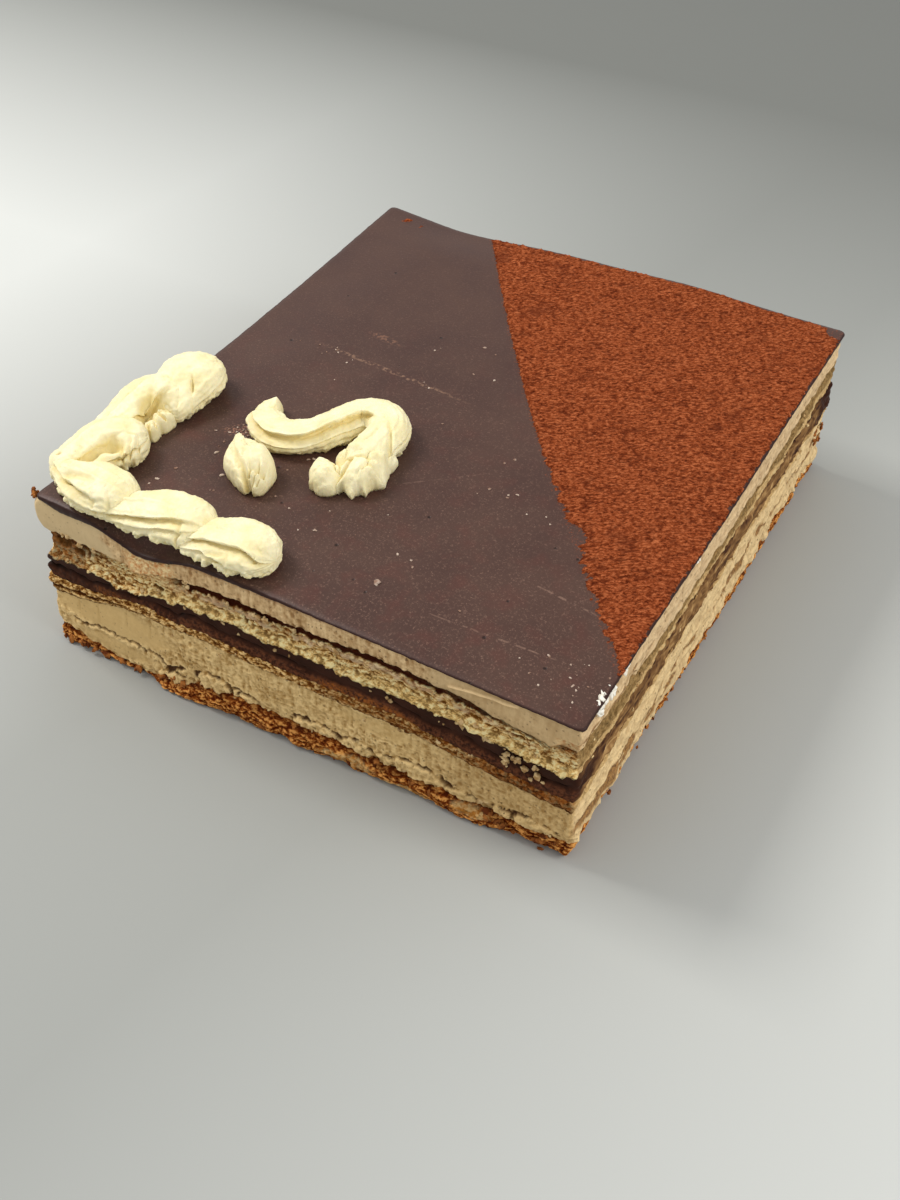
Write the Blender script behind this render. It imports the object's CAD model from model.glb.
"""Opera cake cut as a block: soaked sponges, coffee creams and ganache under a poured glaze.

Cocoa is sieved over the back right corner, and piped cream borders the front left corner.
Sizes are in millimetres and become metres where a mesh is made; places in materials, and those of the
lights and the camera, are in metres. +Z is up, and the origin is the middle of the block's underside.
The layered cut face looks along -Y, the smeared side along +X.
"""
import math

import bpy
import numpy as np
from mathutils import Matrix, Vector


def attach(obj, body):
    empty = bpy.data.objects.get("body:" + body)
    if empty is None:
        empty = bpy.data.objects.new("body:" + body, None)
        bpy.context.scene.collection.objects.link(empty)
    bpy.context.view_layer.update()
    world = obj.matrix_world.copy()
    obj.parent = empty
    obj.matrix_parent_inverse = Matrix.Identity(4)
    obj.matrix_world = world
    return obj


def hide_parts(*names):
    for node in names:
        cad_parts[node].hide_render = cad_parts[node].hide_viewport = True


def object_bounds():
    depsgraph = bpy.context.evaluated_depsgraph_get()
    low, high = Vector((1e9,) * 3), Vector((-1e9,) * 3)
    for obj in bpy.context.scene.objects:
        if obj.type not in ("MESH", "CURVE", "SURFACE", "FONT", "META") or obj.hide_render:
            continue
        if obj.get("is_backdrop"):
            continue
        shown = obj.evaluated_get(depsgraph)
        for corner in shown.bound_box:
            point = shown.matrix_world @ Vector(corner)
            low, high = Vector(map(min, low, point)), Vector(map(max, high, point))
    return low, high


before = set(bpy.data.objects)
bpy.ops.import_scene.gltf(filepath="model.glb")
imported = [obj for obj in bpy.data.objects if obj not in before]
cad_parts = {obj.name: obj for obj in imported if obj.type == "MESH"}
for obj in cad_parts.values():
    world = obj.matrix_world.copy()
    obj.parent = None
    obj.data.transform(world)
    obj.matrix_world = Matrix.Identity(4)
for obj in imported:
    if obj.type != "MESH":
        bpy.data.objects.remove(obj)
cad_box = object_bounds()


# The soaked base: a browned joconde sponge, wet with coffee syrup, torn and crumbly where the knife
# went through. The other layers are stacked on it, so the block's outline and the way that every
# layer is laid are set out here too.
MM = 0.001
WIDTH = 200.0
DEPTH = 220.0
HEIGHT = 64.0
HALF_WIDTH = WIDTH / 2
HALF_DEPTH = DEPTH / 2
CORNER = 1.8
# Front, right, back and left: length, spacing of the columns and the way it faces, in degrees.
SIDES = ((WIDTH, 0.5, -90), (DEPTH, 0.55, 0), (WIDTH, 1.1, 90), (DEPTH, 0.9, 180))
# Stations: a place along a side and the height, or the way out, of the layer there.
BASE_TOP_FRONT = (
    (-96, 7.9), (-86, 4.8), (-76, 2.4), (-63, 2.2), (-56, 2.8), (-50, 3.8), (-44, 5.8), (-40, 8.6),
    (-33, 9.1), (-26, 10.7), (-7, 9.7), (12, 10.2), (27, 8.6), (41, 8.3), (61, 7.5), (80, 8.4),
    (100, 9.2),
)
BASE_TOP_RIGHT = (
    (-110, 9.8), (-100, 9.4), (-90, 9.9), (-70, 9.9), (-50, 9.0), (-20, 7.6), (20, 6.8), (40, 6.8),
    (60, 8.8), (100, 8.4), (110, 6.6),
)
BASE_STANDS_OUT = (
    (-100, -0.8), (-80, -1.6), (-61, -1.4), (-55, 0.8), (-45, 1.2), (-33, 0.6), (-17, 0.2), (2, 0.9),
    (21, 0.5), (45, 0.6), (60, 1.0), (72, 0.6), (78, -0.6), (100, -1.0),
)
# Heights of the seams at the back, from the floor up: at the left, in the middle and at the right.
CUT_SEAMS = (
    (0.0, 0.0, 0.0),
    (3.3, 9.0, 7.9),
    (22.8, 29.0, 24.1),
    (29.3, 33.6, 30.6),
    (37.4, 43.7, 42.2),
    (47.6, 54.7, 50.1),
)


def ease(value):
    """Ease from 0 to 1 as value goes from 0 to 1."""
    t = np.clip(value, 0.0, 1.0)
    return t * t * (3.0 - 2.0 * t)


def bell(value, middle, spread):
    """A hump of height 1 around middle."""
    return np.exp(-(((value - middle) / spread) ** 2))


def lattice(i, j, k, seed):
    """Repeatable random numbers from 0 to 1, one for each whole-number point."""
    i, j, k = (np.atleast_1d(v) for v in (i, j, k))
    n = i.astype(np.int64).astype(np.uint32) * np.uint32(374761393)
    n = n + j.astype(np.int64).astype(np.uint32) * np.uint32(668265263)
    n = n + k.astype(np.int64).astype(np.uint32) * np.uint32(2246822519)
    n = n + np.full(1, (seed * 3266489917) % 2**32, dtype=np.uint32)
    n = (n ^ (n >> np.uint32(15))) * np.uint32(2246822519)
    n = (n ^ (n >> np.uint32(13))) * np.uint32(3266489917)
    n = n ^ (n >> np.uint32(16))
    return n.astype(np.float64) / 4294967295.0


def ripple(x, y, z, seed):
    """Smooth random ups and downs from -1 to 1, about one unit across."""
    x, y, z = np.broadcast_arrays(x, y, z)
    corner = [np.floor(v) for v in (x, y, z)]
    part = [ease(v - c) for v, c in zip((x, y, z), corner)]
    total = np.zeros(x.shape)
    for dx in (0, 1):
        for dy in (0, 1):
            for dz in (0, 1):
                weight = (part[0] if dx else 1 - part[0]) * (part[1] if dy else 1 - part[1])
                weight = weight * (part[2] if dz else 1 - part[2])
                total += weight * lattice(corner[0] + dx, corner[1] + dy, corner[2] + dz, seed)
    return total * 2.0 - 1.0


def rough(x, y, z, size, seed, finer=3):
    """Ups and downs of one size in mm, with finer ones on top."""
    total = 0.0
    for step in range(finer):
        scale = 2.0 ** step / size
        total = total + ripple(x * scale, y * scale, z * scale, seed + step) * 0.55 ** step
    return total


def bubbles(x, y, z, seed):
    """Points scattered one to a unit cell: how far the nearest and the next are, and the nearest's number."""
    x, y, z = np.broadcast_arrays(x, y, z)
    cell = [np.floor(v) for v in (x, y, z)]
    nearest = np.full(x.shape, 9.0)
    second = np.full(x.shape, 9.0)
    own = np.zeros(x.shape)
    for dx in (-1, 0, 1):
        for dy in (-1, 0, 1):
            for dz in (-1, 0, 1):
                i, j, k = cell[0] + dx, cell[1] + dy, cell[2] + dz
                far = (i + lattice(i, j, k, seed) - x) ** 2
                far += (j + lattice(i, j, k, seed + 101) - y) ** 2
                far += (k + lattice(i, j, k, seed + 202) - z) ** 2
                closer = far < nearest
                second = np.where(closer, nearest, np.minimum(second, far))
                own = np.where(closer, lattice(i, j, k, seed + 303), own)
                nearest = np.where(closer, far, nearest)
    return np.sqrt(nearest), np.sqrt(second), own


def pits(x, y, z, size, share, seed):
    """How deep a point lies in round air holes, 0 to 1; share is the part of the cells with a hole."""
    near, _, own = bubbles(x / size, y / size, z / size, seed)
    return np.where(own < share, np.clip(1.0 - near / (0.25 + 0.35 * own / share), 0.0, 1.0), 0.0) ** 0.6


def crumbs(x, y, z, wide, high, seed):
    """Torn crumb: rounded lumps of uneven size, 0 to 1, and how deep a point lies in the creases between."""
    bend_x = 0.6 * ripple(x / wide, y / wide, z / high, seed + 7)
    bend_z = 0.6 * ripple(x / wide, y / wide, z / high, seed + 8)
    coarse = abs(ripple(x / wide + bend_x, y / wide, z / high + bend_z, seed))
    fine = abs(ripple(2.3 * x / wide + bend_z, 2.3 * y / wide, 2.3 * z / high + bend_x, seed + 1))
    torn = 0.5 + 0.36 * rough(x / wide, y / wide, z / high, 0.8, seed + 3, 3)
    crease = np.maximum(0.8 - 0.8 * coarse / 0.12, 0.4 - 0.4 * fine / 0.2) * ease(2.2 * torn - 0.4)
    return np.clip(0.55 * coarse + 0.3 * fine + 0.85 * torn, 0.0, 1.3), np.clip(crease, 0.0, 1.0)


def along_stations(stations, place, blur=1.2):
    """A value between stations, with the bends at the stations softened."""
    places, values = zip(*stations)
    return sum(np.interp(place + shift, places, values) for shift in (-blur, 0.0, blur)) / 3.0


def table_top(x, y):
    """Height of the glaze without its sag over the front."""
    along = 1.0 - (y / HALF_DEPTH) ** 2
    dip = 1.5 * along * (1.0 - ease((x + HALF_WIDTH) / 35.0))
    dip = dip + 1.6 * bell(y, -5.0, 32.0) * (1.0 - ease((HALF_WIDTH - x) / 22.0))
    edge = 2.2 * bell(x, -62.0, 30.0) - 1.2 * bell(x, 40.0, 24.0)
    return HEIGHT - dip - edge * (1.0 - ease((HALF_DEPTH - y) / 26.0))


def glaze_top(x, y):
    """Height of the glaze, with its sag over the front between two shells."""
    return table_top(x, y) - 5.5 * bell(x, -56.0, 17.0) * (1.0 - ease((y + HALF_DEPTH) / 9.0))


def block_outline():
    """Columns once around the block from its front left corner: place along, x, y, way out and side."""
    columns = []
    start = 0.0
    for side, (length, step, facing) in enumerate(SIDES):
        count = round(length / step)
        for index in range(count):
            a = index * length / count
            turn = 0.0
            if a < CORNER:
                turn = a / (2 * CORNER) - 0.5
            if a > length - CORNER:
                turn = (a - length + CORNER) / (2 * CORNER)
            angle = math.radians(facing + 90.0 * turn)
            base = math.radians(facing)
            half_across = (DEPTH if side % 2 == 0 else WIDTH) / 2
            slide = min(max(a, CORNER), length - CORNER) - length / 2
            centre = half_across - CORNER
            x = centre * math.cos(base) - slide * math.sin(base) + CORNER * math.cos(angle)
            y = centre * math.sin(base) + slide * math.cos(base) + CORNER * math.sin(angle)
            columns.append((start + a, x, y, math.cos(angle), math.sin(angle), side))
        start += length
    return np.array(columns).T


around, out_x, out_y, facing_x, facing_y, side_of = block_outline()
ALL_ROUND = 2 * (WIDTH + DEPTH)
right_begun, back_begun, left_begun = (
    ease((around - corner + 2.0) / 4.0) for corner in (WIDTH, WIDTH + DEPTH, 2 * WIDTH + DEPTH))
on_front = 1.0 - right_begun + ease((around - ALL_ROUND + 2.0) / 2.0)
on_right = right_begun * (1.0 - back_begun)
on_back = back_begun * (1.0 - left_begun)
on_left = 1.0 - on_front - on_right - on_back
on_torn = on_right + on_back


def front_runs_out(x):
    """How far the foot of the front stands out past its top edge."""
    return 3.2 - 2.9 * np.tanh((x - 10.0) / 55.0)


def lean(height, swell, left_swell, right_swell):
    """How far the walls stand out from the outline at a height: the front and left run out below."""
    low = 1.0 - height / HEIGHT
    front = front_runs_out(out_x) * low + swell
    left = 2.5 * low + left_swell - 0.9 * (1.0 - (out_y / HALF_DEPTH) ** 2)
    undercut = 3.4 * (0.3 + 0.7 * bell(out_y, -72.0, 40.0)) * ease((low - 0.84) / 0.16)
    right = right_swell - undercut
    back = swell - 2.2 * bell(out_x, -62.0, 40.0)
    near_x = ease(1.0 - (HALF_WIDTH - abs(out_x)) / 25.0)
    near_y = ease(1.0 - (HALF_DEPTH - abs(out_y)) / 25.0)
    across = np.maximum(np.minimum(1.0, abs(facing_x) * 1.41), near_x)
    along = np.maximum(np.minimum(1.0, abs(facing_y) * 1.41), near_y)
    return np.where(out_x > 0, right, -left) * across, np.where(out_y > 0, back, -front) * along


def seam(level, front, right, ragged, seed, front_lobes=0.0, right_lobes=0.0):
    """Heights all around of the line where one layer ends and the next begins; lobes hang down from it."""
    left, middle, right_end = CUT_SEAMS[level]
    t = out_x / HALF_WIDTH
    plain = middle + 0.5 * (right_end - left) * t + (0.5 * (left + right_end) - middle) * t * t
    plain = plain + 0.6 * np.sin(out_y / 31.0 + 1.7 * level) * ease((out_y + HALF_DEPTH) / 30.0)
    plain = plain + 0.9 * ripple(around / 14.0, 0.0, 0.0, seed)
    line = np.where(side_of < 0.5, along_stations(front, out_x), along_stations(right, out_y))
    past_right = around - WIDTH - DEPTH
    before_front = ALL_ROUND - around
    hidden = plain + (right[-1][1] - plain) * (1.0 - ease(past_right / 18.0))
    hidden = hidden + (front[0][1] - hidden) * (1.0 - ease(before_front / 18.0))
    line = np.where(side_of > 1.5, hidden, line)
    lobes = ripple(around / 2.3, 0.0, 0.0, seed + 5) + 0.6 * ripple(around / 6.0, 0.0, 0.0, seed + 6)
    hang = front_lobes * (on_front + on_left) + right_lobes * (on_right + on_back)
    line = line - np.clip(lobes, 0.0, 1.0) * hang
    return line + 0.7 * ragged * rough(out_x, out_y, level * 9.0, 2.4, seed, 3)


def food_mesh(name, points, faces, masks):
    """A smooth-shaded mesh from points in mm, with its masks kept on the points."""
    mesh = bpy.data.meshes.new(name)
    mesh.from_pydata((points * MM).tolist(), [], faces)
    for mask, values in masks.items():
        mesh.attributes.new(mask, "FLOAT", "POINT").data.foreach_set("value", values.astype(np.float32))
    mesh.shade_smooth()
    mesh.update()
    item = bpy.data.objects.new(name, mesh)
    bpy.context.scene.collection.objects.link(item)
    return item


def closed_rings(rings, first_middle, last_middle):
    """Points and faces of a skin made of closed rings, with a point that closes each end."""
    stations, around_count = rings.shape[:2]
    here = np.arange(around_count)
    ahead = (here + 1) % around_count
    quads = []
    for station in range(stations - 1):
        low, high = station * around_count, (station + 1) * around_count
        quads.append(np.stack([low + here, low + ahead, high + ahead, high + here], axis=1))
    faces = np.concatenate(quads).tolist()
    count = stations * around_count
    top = (stations - 1) * around_count
    faces += np.stack([ahead, here, 0 * here + count], axis=1).tolist()
    faces += np.stack([top + here, top + ahead, 0 * here + count + 1], axis=1).tolist()
    return np.concatenate([rings.reshape(-1, 3), [first_middle, last_middle]]), faces


def standing_proud(push):
    """Whether a point stands out past its neighbours (1) or lies back behind them (-1)."""
    across = sum(np.roll(push, shift, axis=1) for shift in range(-3, 4)) / 7.0
    padded = np.pad(across, ((2, 2), (0, 0)), mode="edge")
    around_it = sum(padded[shift:shift + push.shape[0]] for shift in range(5)) / 5.0
    return np.clip((push - around_it) / 0.4, -1.0, 1.0)


def lay_layer(name, floor, roof, swells, relief, row=0.5):
    """One layer: its uneven wall all around, and its two faces, which its neighbours hide."""
    rows = max(int(round(float(np.mean(roof - floor)) / row)), 3)
    share = np.linspace(0.0, 1.0, rows + 1)[:, None]
    height = floor + (roof - floor) * share
    swell, left_swell, right_swell = swells
    fullness = 1.0 - abs(2.0 * share - 1.0) ** 3
    shift_x, shift_y = lean(height, swell * fullness, left_swell * fullness, right_swell * fullness)
    push, masks = relief(out_x + shift_x, out_y + shift_y, height, share + 0.0 * height)
    masks["proud"] = 0.5 + 0.5 * standing_proud(push)
    x = out_x + shift_x + push * facing_x
    y = out_y + shift_y + push * facing_y
    wall = np.stack([x, y, height], axis=-1)
    inner_floor = np.stack([out_x * 0.9, out_y * 0.9, floor + 0.1], axis=-1)
    inner_roof = np.stack([out_x * 0.9, out_y * 0.9, roof - 0.1], axis=-1)
    rings = np.concatenate([inner_floor[None], wall, inner_roof[None]])
    points, faces = closed_rings(rings, [0.0, 0.0, floor.mean()], [0.0, 0.0, roof.mean()])
    masks["share"] = share + 0.0 * height
    masks["torn_side"] = on_torn + 0.0 * height
    inner = np.zeros(len(out_x))
    masks = {key: np.concatenate([inner, np.ravel(value), inner, [0.0, 0.0]]) for key, value in masks.items()}
    return food_mesh(name, points, faces, masks)


def scar(x, z, line, width):
    """1 along a broken line on the front, fading to 0 at width."""
    nearest = np.full(np.broadcast(x, z).shape, 1e9)
    for (ax, az), (bx, bz) in zip(line, line[1:]):
        length = (bx - ax) ** 2 + (bz - az) ** 2
        part = np.clip(((x - ax) * (bx - ax) + (z - az) * (bz - az)) / length, 0.0, 1.0)
        nearest = np.minimum(nearest, (x - ax - part * (bx - ax)) ** 2 + (z - az - part * (bz - az)) ** 2)
    return np.exp(-nearest / (width * width))


def mound(x, z, middle_x, middle_z, half_wide, half_high):
    """A soft-edged oval patch on a wall or the top, 1 over its middle."""
    far = ((x - middle_x) / half_wide) ** 2 + ((z - middle_z) / half_high) ** 2
    return 1.0 - ease((far - 0.45) / 0.75)


def tint(red, green, blue):
    """A colour as a painter's chart gives it, 0 to 255, turned into light."""
    parts = [value / 255.0 for value in (red, green, blue)]
    return [p / 12.92 if p <= 0.04045 else ((p + 0.055) / 1.055) ** 2.4 for p in parts] + [1.0]


class Finish:
    """A material with a Principled surface, and short ways to add nodes to it."""

    def __init__(self, name, roughness, specular=0.5, tree=None):
        self.material = None
        if tree is None:
            self.material = bpy.data.materials.new(name)
            self.material.use_nodes = True
            tree = self.material.node_tree
            self.surface = tree.nodes["Principled BSDF"]
            self.surface.inputs["Roughness"].default_value = roughness
            self.surface.inputs["Specular IOR Level"].default_value = specular
        self.tree = tree
        self.place = None

    def node(self, kind, links=None, **values):
        """A node with its settings, and its inputs linked or set."""
        item = self.tree.nodes.new(kind)
        for key, value in values.items():
            setattr(item, key, value)
        for key, value in (links or {}).items():
            self.feed(item.inputs[key], value)
        return item

    def feed(self, socket, value):
        """Link a socket, or set its value."""
        if isinstance(value, bpy.types.NodeSocket):
            self.tree.links.new(value, socket)
        else:
            socket.default_value = value

    def where(self):
        """The place on the cake, in metres, or the group's own place."""
        if self.place is None:
            self.place = self.node("ShaderNodeTexCoord").outputs["Object"]
        return self.place

    def stretched(self, x, y, z):
        """The place, with each axis scaled."""
        return self.node("ShaderNodeMapping", {"Vector": self.where(), "Scale": (x, y, z)}).outputs["Vector"]

    def clouds(self, size, detail=3.0, vector=None, roughness=0.55):
        """Soft random patches of a size in mm, from 0 to 1."""
        links = {"Vector": vector or self.where(), "Scale": 1.0 / (size * MM), "Detail": detail}
        links["Roughness"] = roughness
        return self.node("ShaderNodeTexNoise", links).outputs["Fac"]

    def spot(self, x, y, turn, long, wide):
        """1 inside a long oval on the top, fading out at its rim."""
        links = {"Vector": self.where(), "Location": (x * MM, y * MM, HEIGHT * MM),
                 "Rotation": (0.0, 0.0, math.radians(turn)), "Scale": (long * MM, wide * MM, 1.0)}
        inside = self.node("ShaderNodeMapping", links, vector_type="TEXTURE").outputs["Vector"]
        far = self.node("ShaderNodeVectorMath", {0: inside}, operation="LENGTH").outputs["Value"]
        return self.fit(far, 0.5, 1.0, 1.0, 0.0)

    def mask(self, name):
        """One of the mesh's own masks."""
        return self.node("ShaderNodeAttribute", attribute_name=name).outputs["Fac"]

    def fit(self, value, low, high, to_low=0.0, to_high=1.0):
        """A value taken from one range to another and kept inside it."""
        links = {"Value": value, "From Min": low, "From Max": high, "To Min": to_low, "To Max": to_high}
        return self.node("ShaderNodeMapRange", links, clamp=True).outputs["Result"]

    def maths(self, kind, first, second):
        """Two values added, multiplied and so on."""
        links = {0: first, 1: second}
        return self.node("ShaderNodeMath", links, operation=kind).outputs[0]

    def blend(self, share, first, second):
        """A share of the second colour over the first."""
        item = self.node("ShaderNodeMix", data_type="RGBA", clamp_factor=True)
        self.feed(item.inputs[0], share)
        self.feed(item.inputs[6], first)
        self.feed(item.inputs[7], second)
        return item.outputs[2]

    def dress(self, colour, name, shade, most=1.0, low=0.0, high=1.0):
        """Lay a shade over a colour where a mask says so, most at its high end."""
        return self.blend(self.fit(self.mask(name), low, high, 0.0, most), colour, shade)

    def mottled(self, size, low, high, first, second, detail=3.0, roughness=0.55):
        """Two shades that change from one to the other in soft patches of a size in mm."""
        return self.blend(self.fit(self.clouds(size, detail, roughness=roughness), low, high), first, second)

    def shades(self, value, *stops):
        """A colour for each step of a value."""
        ramp = self.node("ShaderNodeValToRGB", {"Fac": value})
        bar = ramp.color_ramp
        while len(bar.elements) < len(stops):
            bar.elements.new(0.5)
        for element, (position, colour) in zip(bar.elements, stops):
            element.position = position
            element.color = colour
        return ramp.outputs["Color"]

    def uneven(self, height, depth):
        """Fine unevenness of a depth in mm, too small for the mesh."""
        links = {"Height": height, "Distance": depth * MM, "Strength": 1.0}
        normal = self.node("ShaderNodeBump", links).outputs["Normal"]
        self.feed(self.surface.inputs["Normal"], normal)

    def group(self, tree, **values):
        """A shared node group, fed by name."""
        item = self.node("ShaderNodeGroup", node_tree=tree)
        for key, value in values.items():
            self.feed(item.inputs[key.replace("_", " ")], value)
        return item


def crumb_grain():
    """Node group: the torn crumb of a sponge, as a light-to-dark tone, fine height and small open holes."""
    tree = bpy.data.node_groups.new("crumb_grain", "ShaderNodeTree")
    tree.interface.new_socket("Place", in_out="INPUT", socket_type="NodeSocketVector")
    for name in ("Tone", "Height", "Holes"):
        tree.interface.new_socket(name, in_out="OUTPUT", socket_type="NodeSocketFloat")
    work = Finish("crumb_grain", 0.0, tree=tree)
    ins = tree.nodes.new("NodeGroupInput")
    outs = tree.nodes.new("NodeGroupOutput")
    work.place = ins.outputs["Place"]
    torn = work.clouds(2.2, 6.0, roughness=0.74)
    flakes = work.clouds(0.8, 4.0, roughness=0.65)
    tone = work.maths("ADD", work.maths("MULTIPLY", torn, 0.7), work.maths("MULTIPLY", flakes, 0.3))
    holes = work.fit(work.clouds(1.5, 2.0), 0.60, 0.68)
    work.feed(outs.inputs["Tone"], tone)
    work.feed(outs.inputs["Holes"], holes)
    work.feed(outs.inputs["Height"], work.maths("SUBTRACT", tone, work.maths("MULTIPLY", holes, 0.35)))
    return tree


def sponge_finish(name, dark, mid, light, hole_shade):
    """A sponge: darker in its holes and creases, lighter on its crests; returns it and its colour so far."""
    sponge = Finish(name, 0.85, 0.06)
    grain = sponge.group(crumb_group, Place=sponge.stretched(0.8, 0.8, 1.7))
    tone = sponge.maths("ADD", grain.outputs["Tone"], sponge.fit(sponge.mask("proud"), 0.0, 1.0, -0.12, 0.12))
    colour = sponge.shades(tone, (0.42, dark), (0.50, mid), (0.58, light))
    colour = sponge.blend(sponge.maths("MULTIPLY", grain.outputs["Holes"], 0.35), colour, hole_shade)
    sponge.uneven(grain.outputs["Height"], 1.1)
    return sponge, colour


crumb_group = crumb_grain()
base_floor = 0.0 * around
base_roof = seam(1, BASE_TOP_FRONT, BASE_TOP_RIGHT, 0.75, 11, 0.6, 3.4)


def base_relief(x, y, z, share):
    """Ragged browned crumb: it stands out in chunks on the front and hangs back under the right."""
    chunk = along_stations(BASE_STANDS_OUT, out_x) * on_front
    lumps, crease = crumbs(x, y, z, 3.2, 1.4, 21)
    small, _ = crumbs(x, y, z, 1.4, 0.8, 22)
    push = chunk + 0.7 * rough(x, y, z, 6.0, 23, 2) + 0.9 * (lumps - 0.5) + 0.5 * (small - 0.5)
    push = push - 0.4 * crease - 0.5 * on_front * ease((share - 0.55) / 0.45)
    push = push - 1.2 * on_front * ease((x - 74.0) / 6.0) * (1.0 - share)
    golden = np.maximum(mound(x, z, 20.0, 3.4, 11.0, 3.0), mound(x, z, 66.0, 5.2, 7.5, 2.8))
    golden = np.maximum(golden, mound(x, z, 41.0, 0.9, 10.0, 1.6)) * on_front
    under_cream = ease((share - 0.62) / 0.3) * on_front * (0.7 + 0.5 * ripple(x / 5.0, y / 5.0, 0.0, 24))
    return push, {
        "pit": np.clip(0.8 * crease, 0.0, 1.0),
        "golden": golden,
        "shaded": np.clip(under_cream, 0.0, 1.0),
    }


soaked_base = lay_layer("sponge_base_crumb", base_floor, base_roof, (0.9, 0.2, 0.2), base_relief, 0.42)
soaked, brown = sponge_finish(
    "soaked_sponge", tint(84, 26, 2), tint(156, 80, 24), tint(248, 174, 92), tint(58, 20, 3))
golden_crumb = soaked.mottled(1.8, 0.4, 0.6, tint(198, 132, 56), tint(246, 208, 142))
brown = soaked.dress(brown, "golden", golden_crumb, 0.75)
brown = soaked.dress(brown, "shaded", tint(78, 34, 8), 0.7)
brown = soaked.dress(brown, "pit", tint(48, 16, 3), 0.85, 0.2)
soaked.feed(soaked.surface.inputs["Base Color"], brown)
soaked_base.data.materials.append(soaked.material)
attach(soaked_base, "root")
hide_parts("sponge_base")


# The lower coffee cream: a thick even spread, wiped smooth by the knife at the left and dragged into
# fine upright streaks along the rest of the cut. It cracked where it parts from the base, and on the
# right side it was smeared over the sponge above and hangs down in drips.
CREAM_TOP_FRONT = (
    (-96, 23.1), (-81, 25.4), (-71, 28.4), (-61, 29.6), (-47, 29.6), (-35, 30.2), (-18, 29.3), (2, 28.9),
    (36, 29.2), (51, 28.5), (80, 25.4), (100, 24.7),
)
CREAM_TOP_RIGHT = ((-110, 24.7), (-100, 27.0), (-80, 28.6), (-20, 28.9), (40, 28.6), (80, 28.4), (110, 28.0))
CREAM_CRACKS = (
    ((-93.4, 13.4), (-90.4, 12.0), (-85.0, 13.8), (-79.0, 14.4), (-74.1, 13.4), (-66.0, 14.2),
     (-59.6, 13.6), (-54.6, 12.4), (-52.0, 10.1)),
    ((-63.0, 14.0), (-62.4, 11.4)),
    ((-26.0, 13.6), (-22.2, 14.2), (-16.5, 13.4)),
)
CREAM_SCORES = (
    (-81.6, 17.0, 24.5), (-68.5, 21.0, 28.0), (-58.3, 20.0, 28.5), (-52.3, 24.0, 29.0), (-90.4, 18.0, 23.0),
    (22.3, 20.0, 27.5), (43.7, 22.0, 28.0), (58.0, 20.0, 27.0), (86.2, 14.0, 21.0), (-17.9, 14.0, 26.0),
)
CREAM_LUMPS = (
    (-32.6, 11.8, 6.2, 3.8), (8.0, 11.6, 8.0, 2.4), (24.0, 10.8, 5.4, 3.4), (46.0, 11.2, 10.0, 3.6),
    (87.2, 11.2, 7.0, 2.6), (-47.0, 6.0, 9.5, 2.4), (62.0, 9.6, 6.0, 1.8), (-19.0, 11.8, 3.6, 1.6),
    (34.0, 10.4, 3.0, 2.6), (76.5, 10.4, 3.4, 1.8),
)


def knife_work(x, y, z, seed):
    """Fine upright streaks that a knife leaves in cream on the front, with small air holes."""
    streaks = 0.10 * ripple(x / 0.75, y / 3.0, z / 9.0, seed)
    streaks = streaks + 0.09 * ripple(x / 1.7, y / 3.0, z / 5.0, seed + 1)
    holes = pits(x, y, z, 2.3, 0.22, seed + 2)
    return streaks, holes


def side_smears(x, y, z, seed):
    """Cream dragged along the torn side, in ridges and small clots."""
    drag = 0.45 * ripple(x / 4.0, y / 9.0, z / 1.5, seed) + 0.3 * ripple(x / 2.0, y / 2.6, z / 1.1, seed + 1)
    return drag + 0.22 * ripple(x / 0.9, y / 0.9, z / 0.9, seed + 2)


def raised_lines(x, y, z, size, seed):
    """Thin raised worm-like lines, 0 to 1, where the knife rolled the cream."""
    return np.clip(1.0 - 3.2 * abs(ripple(x / size, y / size, z / size, seed)), 0.0, 1.0)


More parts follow.
